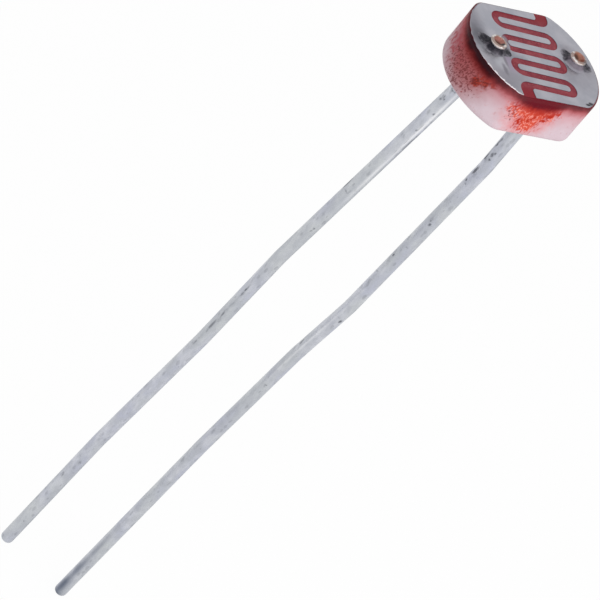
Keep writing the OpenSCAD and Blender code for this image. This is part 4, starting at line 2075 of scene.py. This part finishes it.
# The two leads: lengths, bends and marks along the wire below the underside.
LEFT_LENGTH = 29.3
LEFT_BENDS: tuple[Bend, ...] = (Bend(-0.3, 7.5), Bend(10.7, -3.0), Bend(15.7, 2.0), Bend(22.6, -2.1))
LEFT_PITS_AND_SHADE: tuple[Mark, ...] = (
    # Painted shadow of the hole where the wire leaves the body, over a shallow dent.
    Mark(0.42, 200, 0.06, 0.16, 0.004, 0.9),
    Mark(0.86, 188, 0.1, 0.05),
    Mark(1.02, 182, 0.08, 0.06),
    Mark(0.92, 210, 0.06, 0.04, strength=0.5),
    Mark(1.66, 236, 0.06, 0.04),
    Mark(2.05, 228, 0.05, 0.04, strength=0.6),
    Mark(2.62, 236, 0.06, 0.05, strength=1.2),
    # Painted shade: two long dark bands with no dent, beside the painted highlight stripe.
    Mark(3.0, 243, 2.2, 0.02, 0.0, 0.4),
    Mark(3.0, 285, 2.6, 0.09, 0.0, 0.4),
    Mark(5.0, 158, 0.08, 0.05, 0.002, 0.6),
    Mark(6.3, 152, 0.35, 0.04, 0.003, 0.75),
    Mark(6.5, 205, 0.06, 0.12, 0.002, 0.4),
    Mark(8.62, 244, 0.08, 0.05, strength=1.2),
    Mark(8.76, 240, 0.06, 0.04, strength=1.2),
    Mark(12.6, 203, 0.2, 0.03, 0.003, 0.7),
    Mark(13.0, 203, 0.7, 0.025, 0.002, 0.55),
    Mark(14.0, 203, 0.6, 0.04, 0.002, 0.48),
    Mark(14.8, 199, 0.5, 0.05, 0.002, 0.45),
    Mark(15.62, 194, 0.07, 0.05),
    Mark(15.8, 196, 0.25, 0.04, 0.003, 0.5),
    Mark(18.6, 196, 0.06, 0.06, 0.002, 0.4),
    Mark(23.8, 241, 0.13, 0.08, 0.003, 0.5),
    Mark(24.8, 192, 0.2, 0.06, 0.003, 0.5),
    Mark(27.8, 230, 0.06, 0.04, 0.003, 0.4),
)
# Painted highlight stripes along the left wire.
LEFT_PAINTED_HIGHLIGHT: tuple[Mark, ...] = (
    Mark(2.2, 255, 2.2, 0.06, 0.0, 0.8),
    Mark(5.0, 254, 1.6, 0.06, 0.0, 0.6),
)
# Dark bluish streaks along the left wire.
LEFT_DARK_STREAKS: tuple[Mark, ...] = (
    Mark(13.2, 203, 1.1, 0.05, 0.0, 0.24),
    Mark(15.0, 199, 1.3, 0.06, 0.0, 0.24),
)
RIGHT_LENGTH = 31.3
RIGHT_BENDS: tuple[Bend, ...] = (Bend(3.5, 4.2), Bend(11.7, 4.5), Bend(15.0, -2.9), Bend(21.3, -1.4))
RIGHT_PITS: tuple[Mark, ...] = (
    Mark(2.2, 172, 0.1, 0.05),
    Mark(2.3, 162, 0.3, 0.04, 0.002, 0.8),
    Mark(2.45, 176, 0.06, 0.05),
    Mark(2.72, 212, 0.07, 0.05, strength=0.6),
    Mark(2.84, 198, 0.1, 0.06, strength=0.65),
    Mark(3.05, 206, 0.05, 0.06, strength=0.6),
    Mark(3.0, 160, 0.5, 0.04, 0.004, 0.95),
    Mark(3.6, 168, 0.4, 0.04, 0.002, 0.85),
    Mark(3.7, 177, 0.26, 0.05, 0.006, 0.95),
    Mark(4.3, 176, 0.06, 0.05),
    Mark(4.42, 196, 0.04, 0.06),
    Mark(3.2, 288, 1.6, 0.03, 0.0, 0.4),
    Mark(5.35, 217, 0.05, 0.05, 0.003, 0.6),
    Mark(6.5, 205, 0.05, 0.04, 0.003, 0.5),
    Mark(6.64, 222, 0.08, 0.06, 0.003, 0.65),
    Mark(7.4, 290, 1.2, 0.03, 0.0, 0.45),
    Mark(8.0, 216, 0.05, 0.06, 0.003, 0.5),
    Mark(8.65, 176, 0.08, 0.06, 0.003, 0.65),
    Mark(9.65, 172, 0.05, 0.05, 0.003, 0.6),
    Mark(12.33, 262, 0.09, 0.05, 0.008, 0.95),
    Mark(12.2, 222, 0.04, 0.07, 0.002, 0.5),
    Mark(14.4, 165, 0.5, 0.04, 0.002, 0.5),
    Mark(16.8, 228, 0.05, 0.07, 0.003, 0.55),
)
# Painted highlight stripe along the right wire.
RIGHT_PAINTED_HIGHLIGHT: tuple[Mark, ...] = (Mark(14.0, 205, 2.2, 0.04, 0.0, 0.4),)
# Dark bluish streaks that deepen towards the right wire's tip.
RIGHT_DARK_STREAKS: tuple[Mark, ...] = (
    Mark(28.4, 198, 1.5, 0.1, 0.0, 0.5),
    Mark(29.7, 197, 1.3, 0.13, 0.0, 0.75),
    Mark(30.7, 197, 1.0, 0.16, 0.0, 0.95),
    Mark(31.3, 200, 0.4, 0.22, 0.0, 1.0),
)


def build_part(sizes: PartSizes) -> list[Piece]:
    """Builds and dresses every piece of the part.

    Args:
        sizes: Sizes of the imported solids.

    Returns:
        The pieces, in the order in which they were built.
    """
    ceramic = CeramicBody(sizes)
    disc = ceramic.build()
    ceramic.dress(disc)
    photoconductor = PhotoconductorFilm(sizes)
    film = photoconductor.build()
    photoconductor.dress(film)
    combs = CombFilm(sizes)
    metal = [combs.build(side) for side in Side]
    combs.dress(metal)
    pieces = [disc, film, *metal]
    wire, core = TinnedWireFinish().make(), CopperCoreFinish().make()
    leads = (
        Lead(sizes, Side.LEFT, LEFT_LENGTH, LEFT_BENDS, LEFT_PITS_AND_SHADE, LEFT_PAINTED_HIGHLIGHT, LEFT_DARK_STREAKS),
        Lead(sizes, Side.RIGHT, RIGHT_LENGTH, RIGHT_BENDS, RIGHT_PITS, RIGHT_PAINTED_HIGHLIGHT, RIGHT_DARK_STREAKS),
    )
    for lead in leads:
        pieces.append(lead.build())
        lead.dress(pieces[-1], wire, core)
    paste = PasteFinish().make()
    dabs = (
        PasteDab(sizes, Side.LEFT, LEFT_SMEARS, LEFT_POOLS_AND_SHADOW),
        PasteDab(sizes, Side.RIGHT, RIGHT_SMEARS, RIGHT_POOLS_AND_SHADOW),
    )
    for dab in dabs:
        pieces.append(dab.build())
        dab.dress(pieces[-1], paste)
    return pieces


def main() -> None:
    """Builds the shared effects, the camera, the studio and the part, and reports each piece."""
    logging.basicConfig(level=logging.INFO, format="%(message)s")
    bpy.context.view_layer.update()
    sizes = PartSizes.from_frame()
    for effect in (PartPlace, Cloud, Patch, Speckle, Relief, RimSoak):
        effect.build()
    StudioCamera().place()
    Studio(sizes).build()
    for piece in build_part(sizes):
        log.info("%s: %d faces", piece.name, len(piece.data.polygons))


if __name__ == "__main__":
    main()
